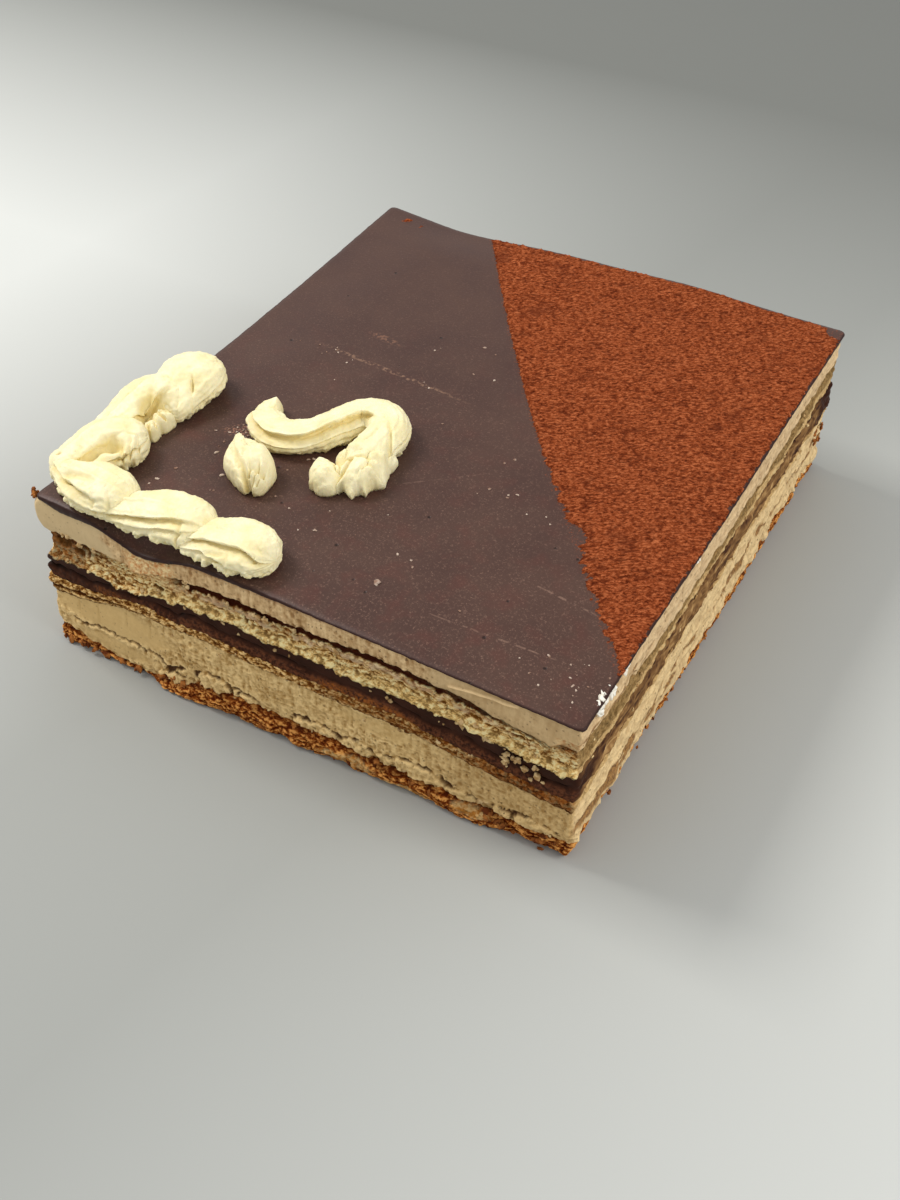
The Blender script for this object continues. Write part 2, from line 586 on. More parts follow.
def lower_cream_relief(x, y, z, share):
    """The thick cream: wiped at the left, hammered and streaked further on, with cracks and loose flaps."""
    streaks, holes = knife_work(x, y, z, 31)
    wiped = on_front * np.maximum.reduce([
        mound(x, z, -75.0, 21.0, 28.0, 8.0), 0.8 * mound(x, z, -77.0, 8.0, 17.0, 4.5),
        0.6 * mound(x, z, 32.0, 24.5, 16.0, 4.0)])
    hammered = mound(x, z, -46.0, 18.0, 22.0, 9.0) + mound(x, z, 40.0, 16.0, 22.0, 8.0)
    lines = raised_lines(x, y, z * 1.2, 2.2, 33) * (0.35 + 0.65 * hammered)
    lines = lines + 0.5 * raised_lines(x, y, z * 0.7, 1.3, 37)
    bumpy = 0.20 * rough(x, y, z, 2.2, 34, 3) + 0.30 * ripple(x / 10.0, y / 10.0, z / 5.0, 35) + 0.30 * lines
    scores = [scar(x, z, ((at, low), (at + 0.4, high)), 0.35) for at, low, high in CREAM_SCORES]
    scores = np.maximum.reduce(scores) * on_front
    shaken_x = x + 0.8 * ripple(x / 1.6, 0.0, z / 1.6, 30) + 0.4 * ripple(x / 0.7, 0.0, z / 0.7, 29)
    shaken_z = z + 0.7 * ripple(x / 1.5, 5.0, z / 1.5, 30) + 0.3 * ripple(x / 0.7, 0.0, z / 0.7, 28)
    cracked = np.maximum.reduce([scar(shaken_x, shaken_z, line, 0.55) for line in CREAM_CRACKS]) * on_front
    cracked = cracked * ease(1.1 + 1.2 * ripple(x / 4.0, 0.0, z / 4.0, 27))
    slot_hole = np.maximum(scar(shaken_x, shaken_z, ((-52.6, 8.8), (-51.6, 9.8), (-49.6, 10.4)), 1.5),
                           scar(shaken_x, shaken_z, ((-50.0, 10.6), (-45.4, 12.6)), 0.9))
    slot_hole = ease((slot_hole * on_front - 0.35) / 0.3)
    rim = np.maximum.reduce([1.2 - np.hypot((shaken_x - x0) / wide, (shaken_z - z0) / high)
                             for x0, z0, wide, high in CREAM_LUMPS]) * on_front
    lumps = ease((rim - 0.12) / 0.16)
    upper_rim = ease((z - 8.6 + 0.03 * abs(x)) / 2.4) * ease(ripple(x / 3.0, y / 3.0, z / 2.0, 39) + 0.95)
    come_and_go = ease(0.9 + 1.6 * ripple(x / 2.4, 0.0, z / 2.4, 48))
    parting = bell(rim, 0.06, 0.15) * upper_rim * on_front * come_and_go
    ragged_edge = on_front * ease(1.0 - share * 5.0) * (0.6 * rough(x, y, z, 1.8, 38, 2) - 0.2)
    front = (streaks + 1.2 * bumpy) * (1.0 - 0.8 * wiped) - 0.3 * holes * (1.0 - wiped) - 0.35 * scores
    front = front + (0.8 + 0.4 * rough(x, y, z, 1.5, 36, 2)) * lumps - 1.0 * cracked - 0.8 * parting
    front = front - 0.9 * slot_hole + ragged_edge
    clots = side_smears(x, y, z, 41) + 0.6 * rough(x, y, z, 6.0, 44, 2)
    drips = (0.9 + 0.7 * ripple(y / 3.0, z / 7.0, 0.0, 45)) * ease(1.0 - share * 2.5) * on_right
    push = front * (1.0 - on_torn) + (clots + drips - 0.5) * on_torn
    rubbed = ripple(y / 7.0, z / 2.2, 0.0, 46) + 0.55 * ripple(y / 2.2, z / 1.2, 0.0, 47)
    rubbed = ease((rubbed + 0.1) * 2.2)
    rubbed = np.maximum(rubbed, bell(y, -84.0, 24.0) * ease(0.9 + ripple(y / 3.0, z / 2.0, 0.0, 49)))
    low_patch = bell(z, 16.0 + 0.02 * y, 2.8) * (0.75 + 0.6 * bell(y, -82.0, 24.0))
    pit = np.maximum.reduce([0.3 * holes * (1.0 - wiped), cracked, 1.5 * parting, slot_hole])
    return push, {
        "pit": np.clip(pit, 0.0, 1.0),
        "wiped": wiped,
        "dulled": ease((x - 38.0) / 26.0) * on_front,
        "crest": np.clip(0.35 * lines * (1.0 - wiped) + 0.3 * lumps, 0.0, 1.0) * (1.0 - on_torn),
        "stained": np.clip(4.5 * rubbed * low_patch - 1.0, 0.0, 1.0) * on_torn,
    }


def cream_grain():
    """Node group: butter cream, as fine height, pin holes, a slow change of shade and knife streaks."""
    tree = bpy.data.node_groups.new("cream_grain", "ShaderNodeTree")
    tree.interface.new_socket("Place", in_out="INPUT", socket_type="NodeSocketVector")
    tree.interface.new_socket("Upright", in_out="INPUT", socket_type="NodeSocketVector")
    for name in ("Holes", "Height", "Shade", "Streaks", "Hammered"):
        tree.interface.new_socket(name, in_out="OUTPUT", socket_type="NodeSocketFloat")
    work = Finish("cream_grain", 0.0, tree=tree)
    ins = tree.nodes.new("NodeGroupInput")
    outs = tree.nodes.new("NodeGroupOutput")
    work.place = ins.outputs["Place"]
    cells = work.node("ShaderNodeTexVoronoi", {"Vector": work.place, "Scale": 520.0})
    holes = work.fit(cells.outputs["Distance"], 0.07, 0.2, 1.0, 0.0)
    streaks = work.clouds(1.3, 3.0, ins.outputs["Upright"])
    hammered = work.clouds(1.7, 4.0, roughness=0.62)
    relief = work.maths("ADD", work.maths("MULTIPLY", hammered, 0.62), work.maths("MULTIPLY", streaks, 0.38))
    work.feed(outs.inputs["Holes"], holes)
    work.feed(outs.inputs["Streaks"], streaks)
    work.feed(outs.inputs["Hammered"], hammered)
    work.feed(outs.inputs["Height"], work.maths("SUBTRACT", relief, work.maths("MULTIPLY", holes, 0.3)))
    work.feed(outs.inputs["Shade"], work.clouds(7.0, 5.0))
    return tree


cream_group = cream_grain()
lower_cream_roof = seam(2, CREAM_TOP_FRONT, CREAM_TOP_RIGHT, 0.45, 12)
lower_cream = lay_layer(
    "coffee_cream_lower", base_roof, lower_cream_roof, (0.4, 0.3, 0.4), lower_cream_relief)


def coffee_cream(name, streaked, pale, dark, smooth_shade, side_shade, pit_shade):
    """Butter cream with coffee: streaked where cut, brown where sponge was rubbed into it."""
    cream = Finish(name, 0.6, 0.15)
    grain = cream.group(cream_group, Place=cream.where(), Upright=cream.stretched(1.0, 1.0, 0.14))
    shade = cream.maths("ADD", cream.maths("MULTIPLY", grain.outputs["Hammered"], 0.6 - streaked),
                        cream.maths("MULTIPLY", grain.outputs["Streaks"], streaked))
    shade = cream.maths("ADD", shade, cream.maths("MULTIPLY", grain.outputs["Shade"], 0.4))
    shade = cream.maths("ADD", shade, cream.fit(cream.mask("proud"), 0.0, 1.0, -0.17, 0.17))
    colour = cream.blend(cream.fit(shade, 0.38, 0.60), dark, pale)
    smear = cream.mottled(1.3, 0.38, 0.62, tint(216, 146, 84), tint(255, 228, 168), 4.0, 0.7)
    stain = cream.mottled(1.3, 0.38, 0.62, tint(98, 58, 22), tint(172, 124, 66), 4.0, 0.7)
    for mask, shade_over, most in (
        ("torn_side", side_shade, 0.5), ("wiped", smooth_shade, 0.85), ("dulled", tint(158, 118, 66), 0.4),
        ("crest", pale, 1.0), ("rubbed", smear, 1.0), ("stained", stain, 0.9),
    ):
        colour = cream.dress(colour, mask, shade_over, most)
    colour = cream.blend(cream.maths("MULTIPLY", grain.outputs["Holes"], 0.35), colour, pit_shade)
    colour = cream.dress(colour, "bleed", tint(150, 84, 50), 0.6)
    colour = cream.dress(colour, "pit", pit_shade, 0.95, 0.2)
    cream.feed(cream.surface.inputs["Base Color"], colour)
    unwiped = cream.fit(cream.mask("wiped"), 0.0, 1.0, 1.0, 0.2)
    cream.uneven(cream.maths("MULTIPLY", grain.outputs["Height"], unwiped), 1.5)
    return cream.material


lower_cream.data.materials.append(coffee_cream(
    "coffee_cream_lower", 0.12, tint(246, 210, 146), tint(178, 136, 74), tint(218, 182, 120),
    tint(226, 200, 156), tint(66, 32, 8)))
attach(lower_cream, "root")
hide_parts("cream_lower")


# The middle sponge: a thin joconde sheet, darker and wetter than the top one, with a browned skin
# along its lower seam. On the right side cream covers all but a line of it.
MIDDLE_TOP_FRONT = (
    (-96, 30.2), (-81, 30.6), (-65, 34.1), (-57, 34.9), (-47, 33.3), (-35, 34.2), (-13, 33.4), (2, 33.4),
    (16, 33.8), (41, 35.2), (50, 33.5), (80, 30.8), (100, 30.1),
)
MIDDLE_TOP_RIGHT = ((-110, 30.1), (-90, 30.0), (-40, 30.0), (20, 30.2), (70, 30.0), (110, 30.0))


def thin_sponge_relief(seed, wide, high, depth):
    """Relief of a thin sponge sheet: torn crumb on the cut, smeared shut on the torn side."""

    def relief(x, y, z, share):
        lumps, crease = crumbs(x, y, z, wide, high, seed)
        small, _ = crumbs(x, y, z, wide * 0.45, high * 0.5, seed + 11)
        open_crumb = depth * ((lumps - 0.5) + 0.4 * (small - 0.5) - 0.4 * crease)
        open_crumb = open_crumb + 0.3 * rough(x, y, z, 5.0, seed + 2, 2)
        closed = side_smears(x, y, z, seed + 5) - 0.3 + 0.4 * rough(x, y, z, 6.0, seed + 8, 2)
        push = open_crumb * (1.0 - on_torn) + closed * on_torn
        pit = np.clip(0.75 * crease, 0.0, 1.0) * (1.0 - 0.75 * on_torn)
        return push, {"pit": pit}

    return relief


def middle_relief(x, y, z, share):
    """The middle sheet, frayed in two plies at the left and wet and dark towards the right."""
    push, masks = thin_sponge_relief(51, 2.2, 1.0, 0.9)(x, y, z, share)
    plies = bell(share, 0.34 + 0.12 * ripple(x / 6.0, y / 6.0, 0.0, 59), 0.13)
    plies = plies * ease((-66.0 - x) / 6.0) * on_front
    wet = ease((x - 2.0) / 12.0) * on_front * (0.55 + 0.45 * ease((x - 55.0) / 25.0))
    masks["pit"] = np.maximum(masks["pit"], 0.9 * plies)
    masks["wet"] = np.clip(wet, 0.0, 1.0)
    return push - 0.8 * plies, masks


middle_roof = seam(3, MIDDLE_TOP_FRONT, MIDDLE_TOP_RIGHT, 0.6, 13, 0.5, 0.3)
middle_sponge = lay_layer(
    "sponge_middle_crumb", lower_cream_roof, middle_roof, (0.5, 2.0, 0.4), middle_relief, 0.4)
wet, brown = sponge_finish(
    "sponge_middle", tint(102, 54, 12), tint(188, 134, 66), tint(250, 208, 140), tint(72, 32, 5))
brown = wet.dress(brown, "wet", wet.mottled(1.6, 0.4, 0.62, tint(68, 28, 6), tint(156, 86, 32)), 0.82)
brown = wet.blend(wet.fit(wet.mask("share"), 0.02, 0.20, 0.85, 0.0), brown, tint(82, 40, 12))
brown = wet.dress(brown, "pit", tint(64, 28, 8), 0.85, 0.2)
brown = wet.dress(brown, "torn_side", tint(206, 172, 118), 0.7)
wet.feed(wet.surface.inputs["Base Color"], brown)
middle_sponge.data.materials.append(wet.material)
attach(middle_sponge, "root")
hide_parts("sponge_middle")


# The ganache: dark chocolate and cream, poured soft. The knife left its upper half smooth and its
# lower half broken, and on the right side crumbs and cream are dragged over it in brown streaks.
GANACHE_TOP_FRONT = (
    (-97, 38.6), (-87, 39.4), (-80, 40.7), (-72, 39.1), (-63, 39.3), (-48, 43.2), (-40, 44.4), (-24, 44.8),
    (-7, 43.8), (4, 44.8), (21, 44.1), (60, 44.7), (80, 42.7), (100, 42.3),
)
GANACHE_TOP_RIGHT = ((-110, 42.3), (-95, 41.5), (-60, 41.0), (0, 41.0), (60, 40.5), (95, 41.0), (110, 41.5))
ganache_roof = seam(4, GANACHE_TOP_FRONT, GANACHE_TOP_RIGHT, 0.5, 14, 1.5, 0.4)


def ganache_relief(x, y, z, share):
    """Poured ganache: smooth above a line of holes, broken below it, rubbed with crumbs on the torn side."""
    line = 0.40 + 0.08 * ripple(around / 9.0, 0.0, 0.0, 61)
    lower_half = ease((line - share) * 7.0)
    lumps, crease = crumbs(x, y, z, 1.9, 1.2, 62)
    broken = 0.55 * (lumps - 0.5) - 0.35 * crease + 0.35
    smooth_cut = 0.12 * ripple(x / 6.0, y / 6.0, z / 2.0, 65) + 0.05 * rough(x, y, z, 1.5, 60, 2)
    pore_line = bell(share, line + 0.03, 0.045) * ease(ripple(x / 4.0, y / 4.0, z, 66) + 0.55)
    pore_line = pore_line * np.where(abs(x - 22.0) < 16.0, 0.2, 1.0)
    notch = bell(share, 0.45, 0.1) * (on_left + on_front * ease((-90.0 - x) / 8.0))
    front = smooth_cut * (1.0 - lower_half) + broken * lower_half - 0.9 * pore_line - 1.4 * notch
    clots = side_smears(x, y, z, 67) + 0.5 * rough(x, y, z, 5.0, 68, 2)
    clots = clots + 0.7 * ease((y - 80.0) / 20.0) * on_right
    push = front * (1.0 - on_torn) + (clots - 0.2) * on_torn
    dragged = 0.46 + 0.4 * bell(z, 33.0, 2.2) * bell(y, -92.0, 14.0)
    for amount, long, high, seed in ((0.22, 16.0, 1.3, 69), (0.26, 3.0, 0.9, 70), (0.2, 1.2, 0.8, 63)):
        dragged = dragged + amount * ripple(y / long, z / high, 0.0, seed)
    bare = ease((y - 92.0) / 8.0) * 0.95 + 0.8 * bell(y, -106.0, 10.0) * bell(z, 37.0, 5.0)
    soaked_band = np.maximum(mound(x, z, 27.0, 34.6, 20.0, 2.4), 0.5 * mound(x, z, -73.0, 32.6, 9.0, 1.8))
    return push, {
        "pit": np.clip(np.maximum(pore_line, notch), 0.0, 1.0),
        "broken": lower_half * (1.0 - on_torn) * (0.35 + 0.65 * ease((x + 72.0) / 24.0)),
        "dragged": np.clip(dragged * (1.0 - bare), 0.0, 1.0) * on_torn,
        "syrup": np.clip(soaked_band, 0.0, 1.0) * on_front * ease((0.55 - share) * 5.0),
    }


ganache = lay_layer("ganache_poured", middle_roof, ganache_roof, (-0.5, 2.4, 0.3), ganache_relief, 0.45)
dark = Finish("ganache", 0.55, 0.04)
grain = dark.group(cream_group, Place=dark.where(), Upright=dark.stretched(1.0, 1.0, 0.3))
chocolate = dark.blend(dark.fit(grain.outputs["Shade"], 0.35, 0.65), tint(50, 26, 16), tint(64, 36, 25))
for mask, size, detail, shade in (
    ("broken", 1.4, 5.0, tint(104, 60, 38)), ("syrup", 1.2, 4.0, tint(150, 86, 38)),
):
    patches = dark.fit(dark.clouds(size, detail, roughness=0.7), 0.42, 0.58)
    chocolate = dark.blend(dark.maths("MULTIPLY", dark.mask(mask), patches), chocolate, shade)
chocolate = dark.dress(chocolate, "pit", tint(20, 8, 3))
rubbed_in = dark.shades(dark.mask("dragged"), (0.05, tint(64, 40, 28)), (0.35, tint(104, 72, 44)),
                        (0.65, tint(140, 104, 64)), (1.0, tint(196, 158, 106)))
chocolate = dark.dress(chocolate, "dragged", rubbed_in, 1.0, 0.05, 0.3)
dark.feed(dark.surface.inputs["Base Color"], chocolate)
dark.feed(dark.surface.inputs["Roughness"], dark.fit(dark.mask("dragged"), 0.0, 0.4, 0.42, 0.8))
dark.uneven(grain.outputs["Height"], 0.15)
ganache.data.materials.append(dark.material)
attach(ganache, "root")
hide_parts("ganache")


# The upper sponge: the palest joconde, yellow along its lower edge, browned and hollowed at the left
# end and dark where its skin pulled away under the cream.
UPPER_TOP_FRONT = (
    (-100, 50.0), (-92, 50.8), (-80, 50.5), (-70, 50.4), (-60, 49.4), (-52, 51.2), (-45, 52.9), (-35, 54.4),
    (-20, 55.2), (0, 55.0), (15, 55.1), (30, 56.2), (42, 56.3), (58, 55.2), (70, 54.2), (80, 52.8),
    (90, 51.2), (100, 52.1),
)
UPPER_TOP_RIGHT = (
    (-110, 52.1), (-104, 55.5), (-98, 53.0), (-90, 51.6), (-76, 50.0), (-60, 48.0), (0, 48.0), (50, 48.6),
    (70, 51.0), (95, 52.0), (110, 52.0),
)
PARTING = (
    (-100, 0.2), (-92, 0.5), (-78, 0.5), (-68, 0.1), (-48, 0.0), (-44, 0.5), (-40, 1.0), (44, 1.0),
    (58, 0.8), (72, 0.8), (78, 0.5), (84, 0.8), (90, 0.3), (94, 0.0), (100, 0.0),
)
UPPER_HOLES = (
    (52.5, 53.2, 2.6, 1.3), (61.0, 52.4, 1.3, 0.8), (69.0, 53.0, 2.2, 1.1), (80.0, 47.6, 2.4, 0.9),
    (-16.4, 47.8, 0.9, 1.8), (-52.0, 44.6, 2.4, 1.0), (-86.6, 44.5, 3.0, 2.0), (-93.6, 45.5, 3.6, 2.4),
    (-81.9, 46.4, 1.1, 2.4),
)
upper_roof = seam(5, UPPER_TOP_FRONT, UPPER_TOP_RIGHT, 0.6, 15, 0.4, 0.3)


def upper_sponge_relief(x, y, z, share):
    """The top sheet: curled flakes under a dark parting at the cream, lobes over the ganache."""
    push, masks = thin_sponge_relief(71, 2.4, 1.2, 0.8)(x, y, z, share)
    depth = along_stations(PARTING, out_x) * on_front
    room = 1.5 / np.maximum(upper_roof - ganache_roof, 4.0)
    edge_wave = 2.15 + 0.6 * ease((10.0 - x) / 30.0)
    edge_wave = edge_wave + 0.5 * ripple(x / 3.0, 0.0, 0.0, 79) + 0.35 * ripple(x / 1.1, 0.0, 0.0, 76)
    skin = depth * ease((share - 1.0 + room * edge_wave) / (0.3 * room))
    flakes = bell(share, 1.0 - room * (edge_wave + 0.9), 0.11) * depth
    flakes = flakes * (0.5 + 0.8 * np.clip(ripple(x / 2.6, y / 2.0, z / 2.2, 78), -0.5, 1.0))
    hollow_left = ease((-80.0 - x + 2.0 * ripple(z / 2.0, x / 3.0, 0.0, 77)) / 5.0)
    hollow_left = hollow_left * on_front * (0.5 + 0.5 * share)
    holes = np.maximum.reduce([mound(x, z, *hole) for hole in UPPER_HOLES]) * on_front
    corner_hole = on_front * ease((x - 91.0) / 4.0) * bell(z, 52.0, 3.0)
    corner_hole = corner_hole + on_right * ease((-97.0 - y) / 5.0) * bell(z, 53.0, 3.2)
    hanging = mound(x, z, 67.0, 46.0, 5.0, 2.2) * on_front
    hem = ease((0.22 - share) * 6.0) * (on_front + on_left)
    push = push - 0.35 * skin + 0.8 * flakes - 1.1 * (hollow_left + holes) - 1.6 * corner_hole
    push = push + hanging + 0.5 * hem + 0.55 * abs(2.0 * share - 1.0) ** 3 * on_front
    masks["pit"] = np.clip(np.maximum(masks["pit"], holes), 0.0, 1.0)
    masks["skin"] = np.clip(skin * 1.2, 0.0, 1.0)
    under_flakes = 0.45 * bell(share, 0.55, 0.09) * depth * ease(0.6 + ripple(x / 5.0, 0.0, z / 2.0, 75))
    masks["browned"] = np.clip(0.9 * corner_hole + 1.1 * hollow_left + under_flakes, 0.0, 1.0)
    masks["pale_edge"] = ease((0.42 - share) * 3.0) * (on_front + on_left) * ease((x + 66.0) / 18.0)
    masks["flake"] = np.clip(flakes * 1.4, 0.0, 1.0)
    smear_end = ease((-40.0 - x + 3.0 * ripple(z / 1.5, x / 4.0, 0.0, 73)) / 7.0)
    smear = ease((x + 63.0) / 3.0) * smear_end * on_front
    masks["smear"] = smear * ease((z - 46.0 + ripple(x / 2.5, 0.0, z / 2.0, 72)) / 1.4)
    masks["rubbed"] = ease((share - 0.26 + 0.2 * ripple(y / 9.0, z / 3.0, 0.0, 74)) / 0.1) * on_right
    return push, masks


upper_sponge = lay_layer(
    "sponge_upper_crumb", ganache_roof, upper_roof, (-1.0, -1.0, -0.2), upper_sponge_relief, 0.4)
airy, gold = sponge_finish(
    "sponge_upper", tint(120, 70, 18), tint(230, 180, 108), tint(255, 234, 174), tint(90, 46, 8))
gold = airy.dress(gold, "pale_edge", tint(228, 208, 134), 0.25)
gold = airy.dress(gold, "flake", tint(238, 200, 160), 0.75, 0.1)
browned_crumb = airy.mottled(1.7, 0.42, 0.6, tint(76, 38, 14), tint(168, 102, 46))
gold = airy.dress(gold, "browned", browned_crumb, 0.9, 0.0, 0.9)
gold = airy.dress(gold, "pit", tint(96, 60, 22), 0.8, 0.2)
smear_crumb = airy.mottled(1.3, 0.40, 0.60, tint(204, 134, 70), tint(255, 228, 166), 4.0, 0.7)
gold = airy.dress(gold, "smear", smear_crumb, 0.85)
gold = airy.dress(gold, "torn_side", tint(204, 170, 118), 0.75)
side_crumb = airy.mottled(1.5, 0.4, 0.6, tint(104, 76, 36), tint(160, 126, 78))
gold = airy.dress(gold, "rubbed", side_crumb, 0.85)
gold = airy.dress(gold, "skin", tint(62, 20, 3))
airy.feed(airy.surface.inputs["Base Color"], gold)
upper_sponge.data.materials.append(airy.material)
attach(upper_sponge, "root")
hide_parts("sponge_upper")


# The upper coffee cream: smooth and greyish at the left end, a rough tan crumb smear beside it, then
# fine knife streaks. A light ridge runs along it near the right, and craters show on the right side.
GLAZE_FOOT_FRONT = (
    (-98, 62.2), (-90, 60.5), (-80, 60.7), (-75, 60.9), (-70, 59.6), (-65, 58.7), (-58, 56.5), (-53, 56.9),
    (-48, 57.8), (-44, 59.1), (-40, 60.4), (-35, 61.5), (-20, 62.0), (0, 62.6), (20, 62.9), (40, 63.0),
    (100, 63.0),
)
SIDE_CRATERS = (
    (-76.0, 50.8, 4.0, 2.3), (-62.0, 52.4, 2.2, 1.5), (-88.0, 56.0, 1.6, 1.0), (-40.0, 51.0, 2.6, 1.2),
    (34.0, 52.0, 3.0, 1.5), (8.0, 55.0, 1.8, 0.9), (66.0, 54.0, 2.2, 1.1), (-20.0, 57.5, 1.5, 0.9),
    (90.0, 56.0, 2.4, 1.3), (-54.0, 59.0, 1.3, 0.8),
)
GLAZE_THICK = 1.35
waver = 0.18 * ripple(around / 5.0, 0.0, 0.0, 16)
upper_cream_roof = glaze_top(out_x, out_y) - GLAZE_THICK + waver
upper_cream_roof = np.where(side_of < 0.5, along_stations(GLAZE_FOOT_FRONT, out_x, 0.8), upper_cream_roof)
upper_cream_roof = upper_cream_roof + 0.12 * rough(out_x, out_y, 0.0, 1.6, 17, 2)


def upper_cream_relief(x, y, z, share):
    """The top cream: wiped at the left, a crumb smear, knife streaks, and a cratered torn side."""
    streaks, holes = knife_work(x, y, z, 81)
    wiped = ease((-68.0 - x + 3.0 * ripple(z / 3.0, 0.0, 0.0, 82)) / 5.0) * on_front
    wiped = np.maximum(wiped, 0.6 * ease((x - 46.0) / 10.0) * on_front)
    smear_end = ease((-39.0 - x + 4.0 * ripple(z / 2.0, x / 5.0, 0.0, 83)) / 8.0)
    smeared = ease((x + 66.0) / 6.0) * smear_end * on_front * ease((59.5 - z + 0.12 * (x + 50.0)) / 1.5)
    lumps, crease = crumbs(x, y, z, 1.8, 1.3, 84)
    bent_z = z + 0.3 * ripple(x / 4.0, 0.0, 0.0, 88)
    ridge = scar(x, bent_z, ((58, 58.6), (66, 60.3), (80, 61.6)), 0.45) * on_front
    front = (1.5 * streaks + 0.18 * rough(x, y, z, 2.0, 87, 3)) * (1.0 - wiped) * (1.0 - smeared)
    front = front + (0.5 * (lumps - 0.4) - 0.3 * crease + 0.10 * (57.0 - z)) * smeared
    front = front - 0.45 * holes * (1.0 - wiped) + 0.55 * ridge + 0.3 * ripple(x / 12.0, y / 9.0, z / 6.0, 89)
    hem = ease(1.0 - share * 7.0) * on_front * (0.1 + 0.25 * ripple(x / 2.2, 0.0, z / 3.0, 90))
    craters = np.maximum.reduce([mound(y, z, *spot) for spot in SIDE_CRATERS]) * on_right
    notch_end = ease((x - 91.5 + 1.5 * ripple(z / 1.6, 0.0, 0.0, 98)) / 3.0)
    notch = on_front * notch_end * ease((57.0 - z) / 2.0)
    clots = 0.8 * side_smears(x, y, z, 91) + 0.4 * rough(x, y, z, 5.0, 94, 2)
    push = (front + hem - 1.6 * notch) * (1.0 - on_torn) + (clots - 0.3 - 1.3 * craters) * on_torn
    stained = ripple(y / 6.0, z / 1.6, 0.0, 95) + 0.4 * ripple(y / 2.0, z / 1.0, 0.0, 96)
    stained = ease((stained + 0.1) * 2.0)
    low_stain = bell(z, 52.5, 2.6) * ease((-58.0 - y) / 12.0)
    low_stain = low_stain + bell(z, 56.0 + 0.25 * (y + 105.0), 2.6) * bell(y, -104.0, 8.0)
    low_stain = low_stain + 0.9 * bell(z, 53.0 - 0.5 * (y + 74.0), 1.5) * bell(y, -74.0, 5.0)
    bleed = ease((share - 0.80) / 0.16) * on_front * ease((x + 62.0) / 10.0) * ease((42.0 - x) / 20.0)
    bleed = bleed * (0.6 + 0.5 * ripple(x / 4.0, 0.0, z / 2.0, 97))
    pit = np.maximum(0.5 * holes * (1.0 - wiped), 0.8 * craters + 0.3 * crease * smeared + 0.5 * notch)
    return push, {
        "pit": np.clip(pit, 0.0, 1.0),
        "wiped": wiped,
        "dulled": 0.7 * ease((x - 42.0) / 26.0) * on_front,
        "crest": np.clip(ridge * 1.5, 0.0, 1.0),
        "rubbed": np.clip(smeared + 0.9 * notch, 0.0, 1.0),
        "stained": np.clip(stained * low_stain * on_torn, 0.0, 1.0),
        "bleed": np.clip(bleed, 0.0, 1.0),
    }


upper_cream = lay_layer(
    "coffee_cream_upper", upper_roof, upper_cream_roof, (0.4, 2.8, 0.4), upper_cream_relief)
upper_cream.data.materials.append(coffee_cream(
    "coffee_cream_upper", 0.34, tint(244, 208, 154), tint(180, 138, 88), tint(216, 189, 142),
    tint(206, 180, 142), tint(84, 44, 14)))
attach(upper_cream, "root")
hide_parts("cream_upper")


# The glaze: dark chocolate poured over the top and left to set to a milky satin. It sags over the
# front edge between two shells, and carries pin holes, a knife scratch and a smear beside the drop.
def glaze_skin(x, y):
    """The glaze's upper surface, with its slow unevenness."""
    return glaze_top(x, y) + 0.10 * ripple(x / 17.0, y / 17.0, 0.0, 111)


def pour_glaze():
    """The glaze: its thin edge all round, and rings of points closing in over the top."""
    edge_rows = (0.0, 0.12, 0.35, 0.62, 0.85, 1.0)
    height_top = glaze_skin(out_x, out_y)
    rings = [np.stack([out_x * 0.9, out_y * 0.9, upper_cream_roof + 0.1], axis=1)]
    for share in edge_rows:
        height = upper_cream_roof + (height_top - 0.35 - upper_cream_roof) * share
        shift_x, shift_y = lean(height, 0.3, 0.3, 0.3)
        out = 0.12 + 0.35 * (1.0 - abs(2.0 * share - 1.0) ** 2) + 0.45 * bell(out_x, -58.0, 12.0) * on_front
        out = out + 0.12 * rough(out_x, out_y, height, 1.5, 112, 2)
        x = out_x + shift_x + out * facing_x
        y = out_y + shift_y + out * facing_y
        rings.append(np.stack([x, y, height], axis=1))
    shift_x, shift_y = lean(height_top, 0.3, 0.3, 0.3)
    insets = [0.35, 0.9, 1.8, 3.0, 4.5, 6.0, 8.0, 10.0] + [10.0 + 4.9 * step for step in range(1, 19)]
    for inset in insets:
        x = (out_x + shift_x) * (1.0 - inset / HALF_WIDTH)
        y = (out_y + shift_y) * (1.0 - inset / HALF_DEPTH)
        height = glaze_skin(x, y) - 0.3 * (1.0 - ease(inset / 1.4))
        rings.append(np.stack([x, y, height], axis=1))
    middle = glaze_skin(np.zeros(1), np.zeros(1))[0]
    points, faces = closed_rings(np.stack(rings), [0.0, 0.0, upper_cream_roof.mean()], [0.0, 0.0, middle])
    edge = np.zeros(len(points))
    edge[len(out_x):(1 + len(edge_rows)) * len(out_x)] = 1.0
    to_cocoa = np.clip(cocoa_side(points[:, 0], points[:, 1]), -40, 40)
    return food_mesh("glaze_poured", points, faces, {"edge": edge, "to_cocoa": to_cocoa})


COCOA_START = (-51.0, 108.0)
COCOA_END = (99.6, -87.5)


def cocoa_side(x, y):
    """Distance past the sieved triangle's long edge, above 0 where the cocoa lies."""
    dx, dy = COCOA_END[0] - COCOA_START[0], COCOA_END[1] - COCOA_START[1]
    length = math.hypot(dx, dy)
    share = ((x - COCOA_START[0]) * dx + (y - COCOA_START[1]) * dy) / length ** 2
    past = ((y - COCOA_START[1]) * dx - (x - COCOA_START[0]) * dy) / length
    bow = 4.2 * np.clip(4.0 * share * (1.0 - share), 0.0, 1.0) * (1.0 - 0.5 * ease((share - 0.55) / 0.3))
    return past + bow


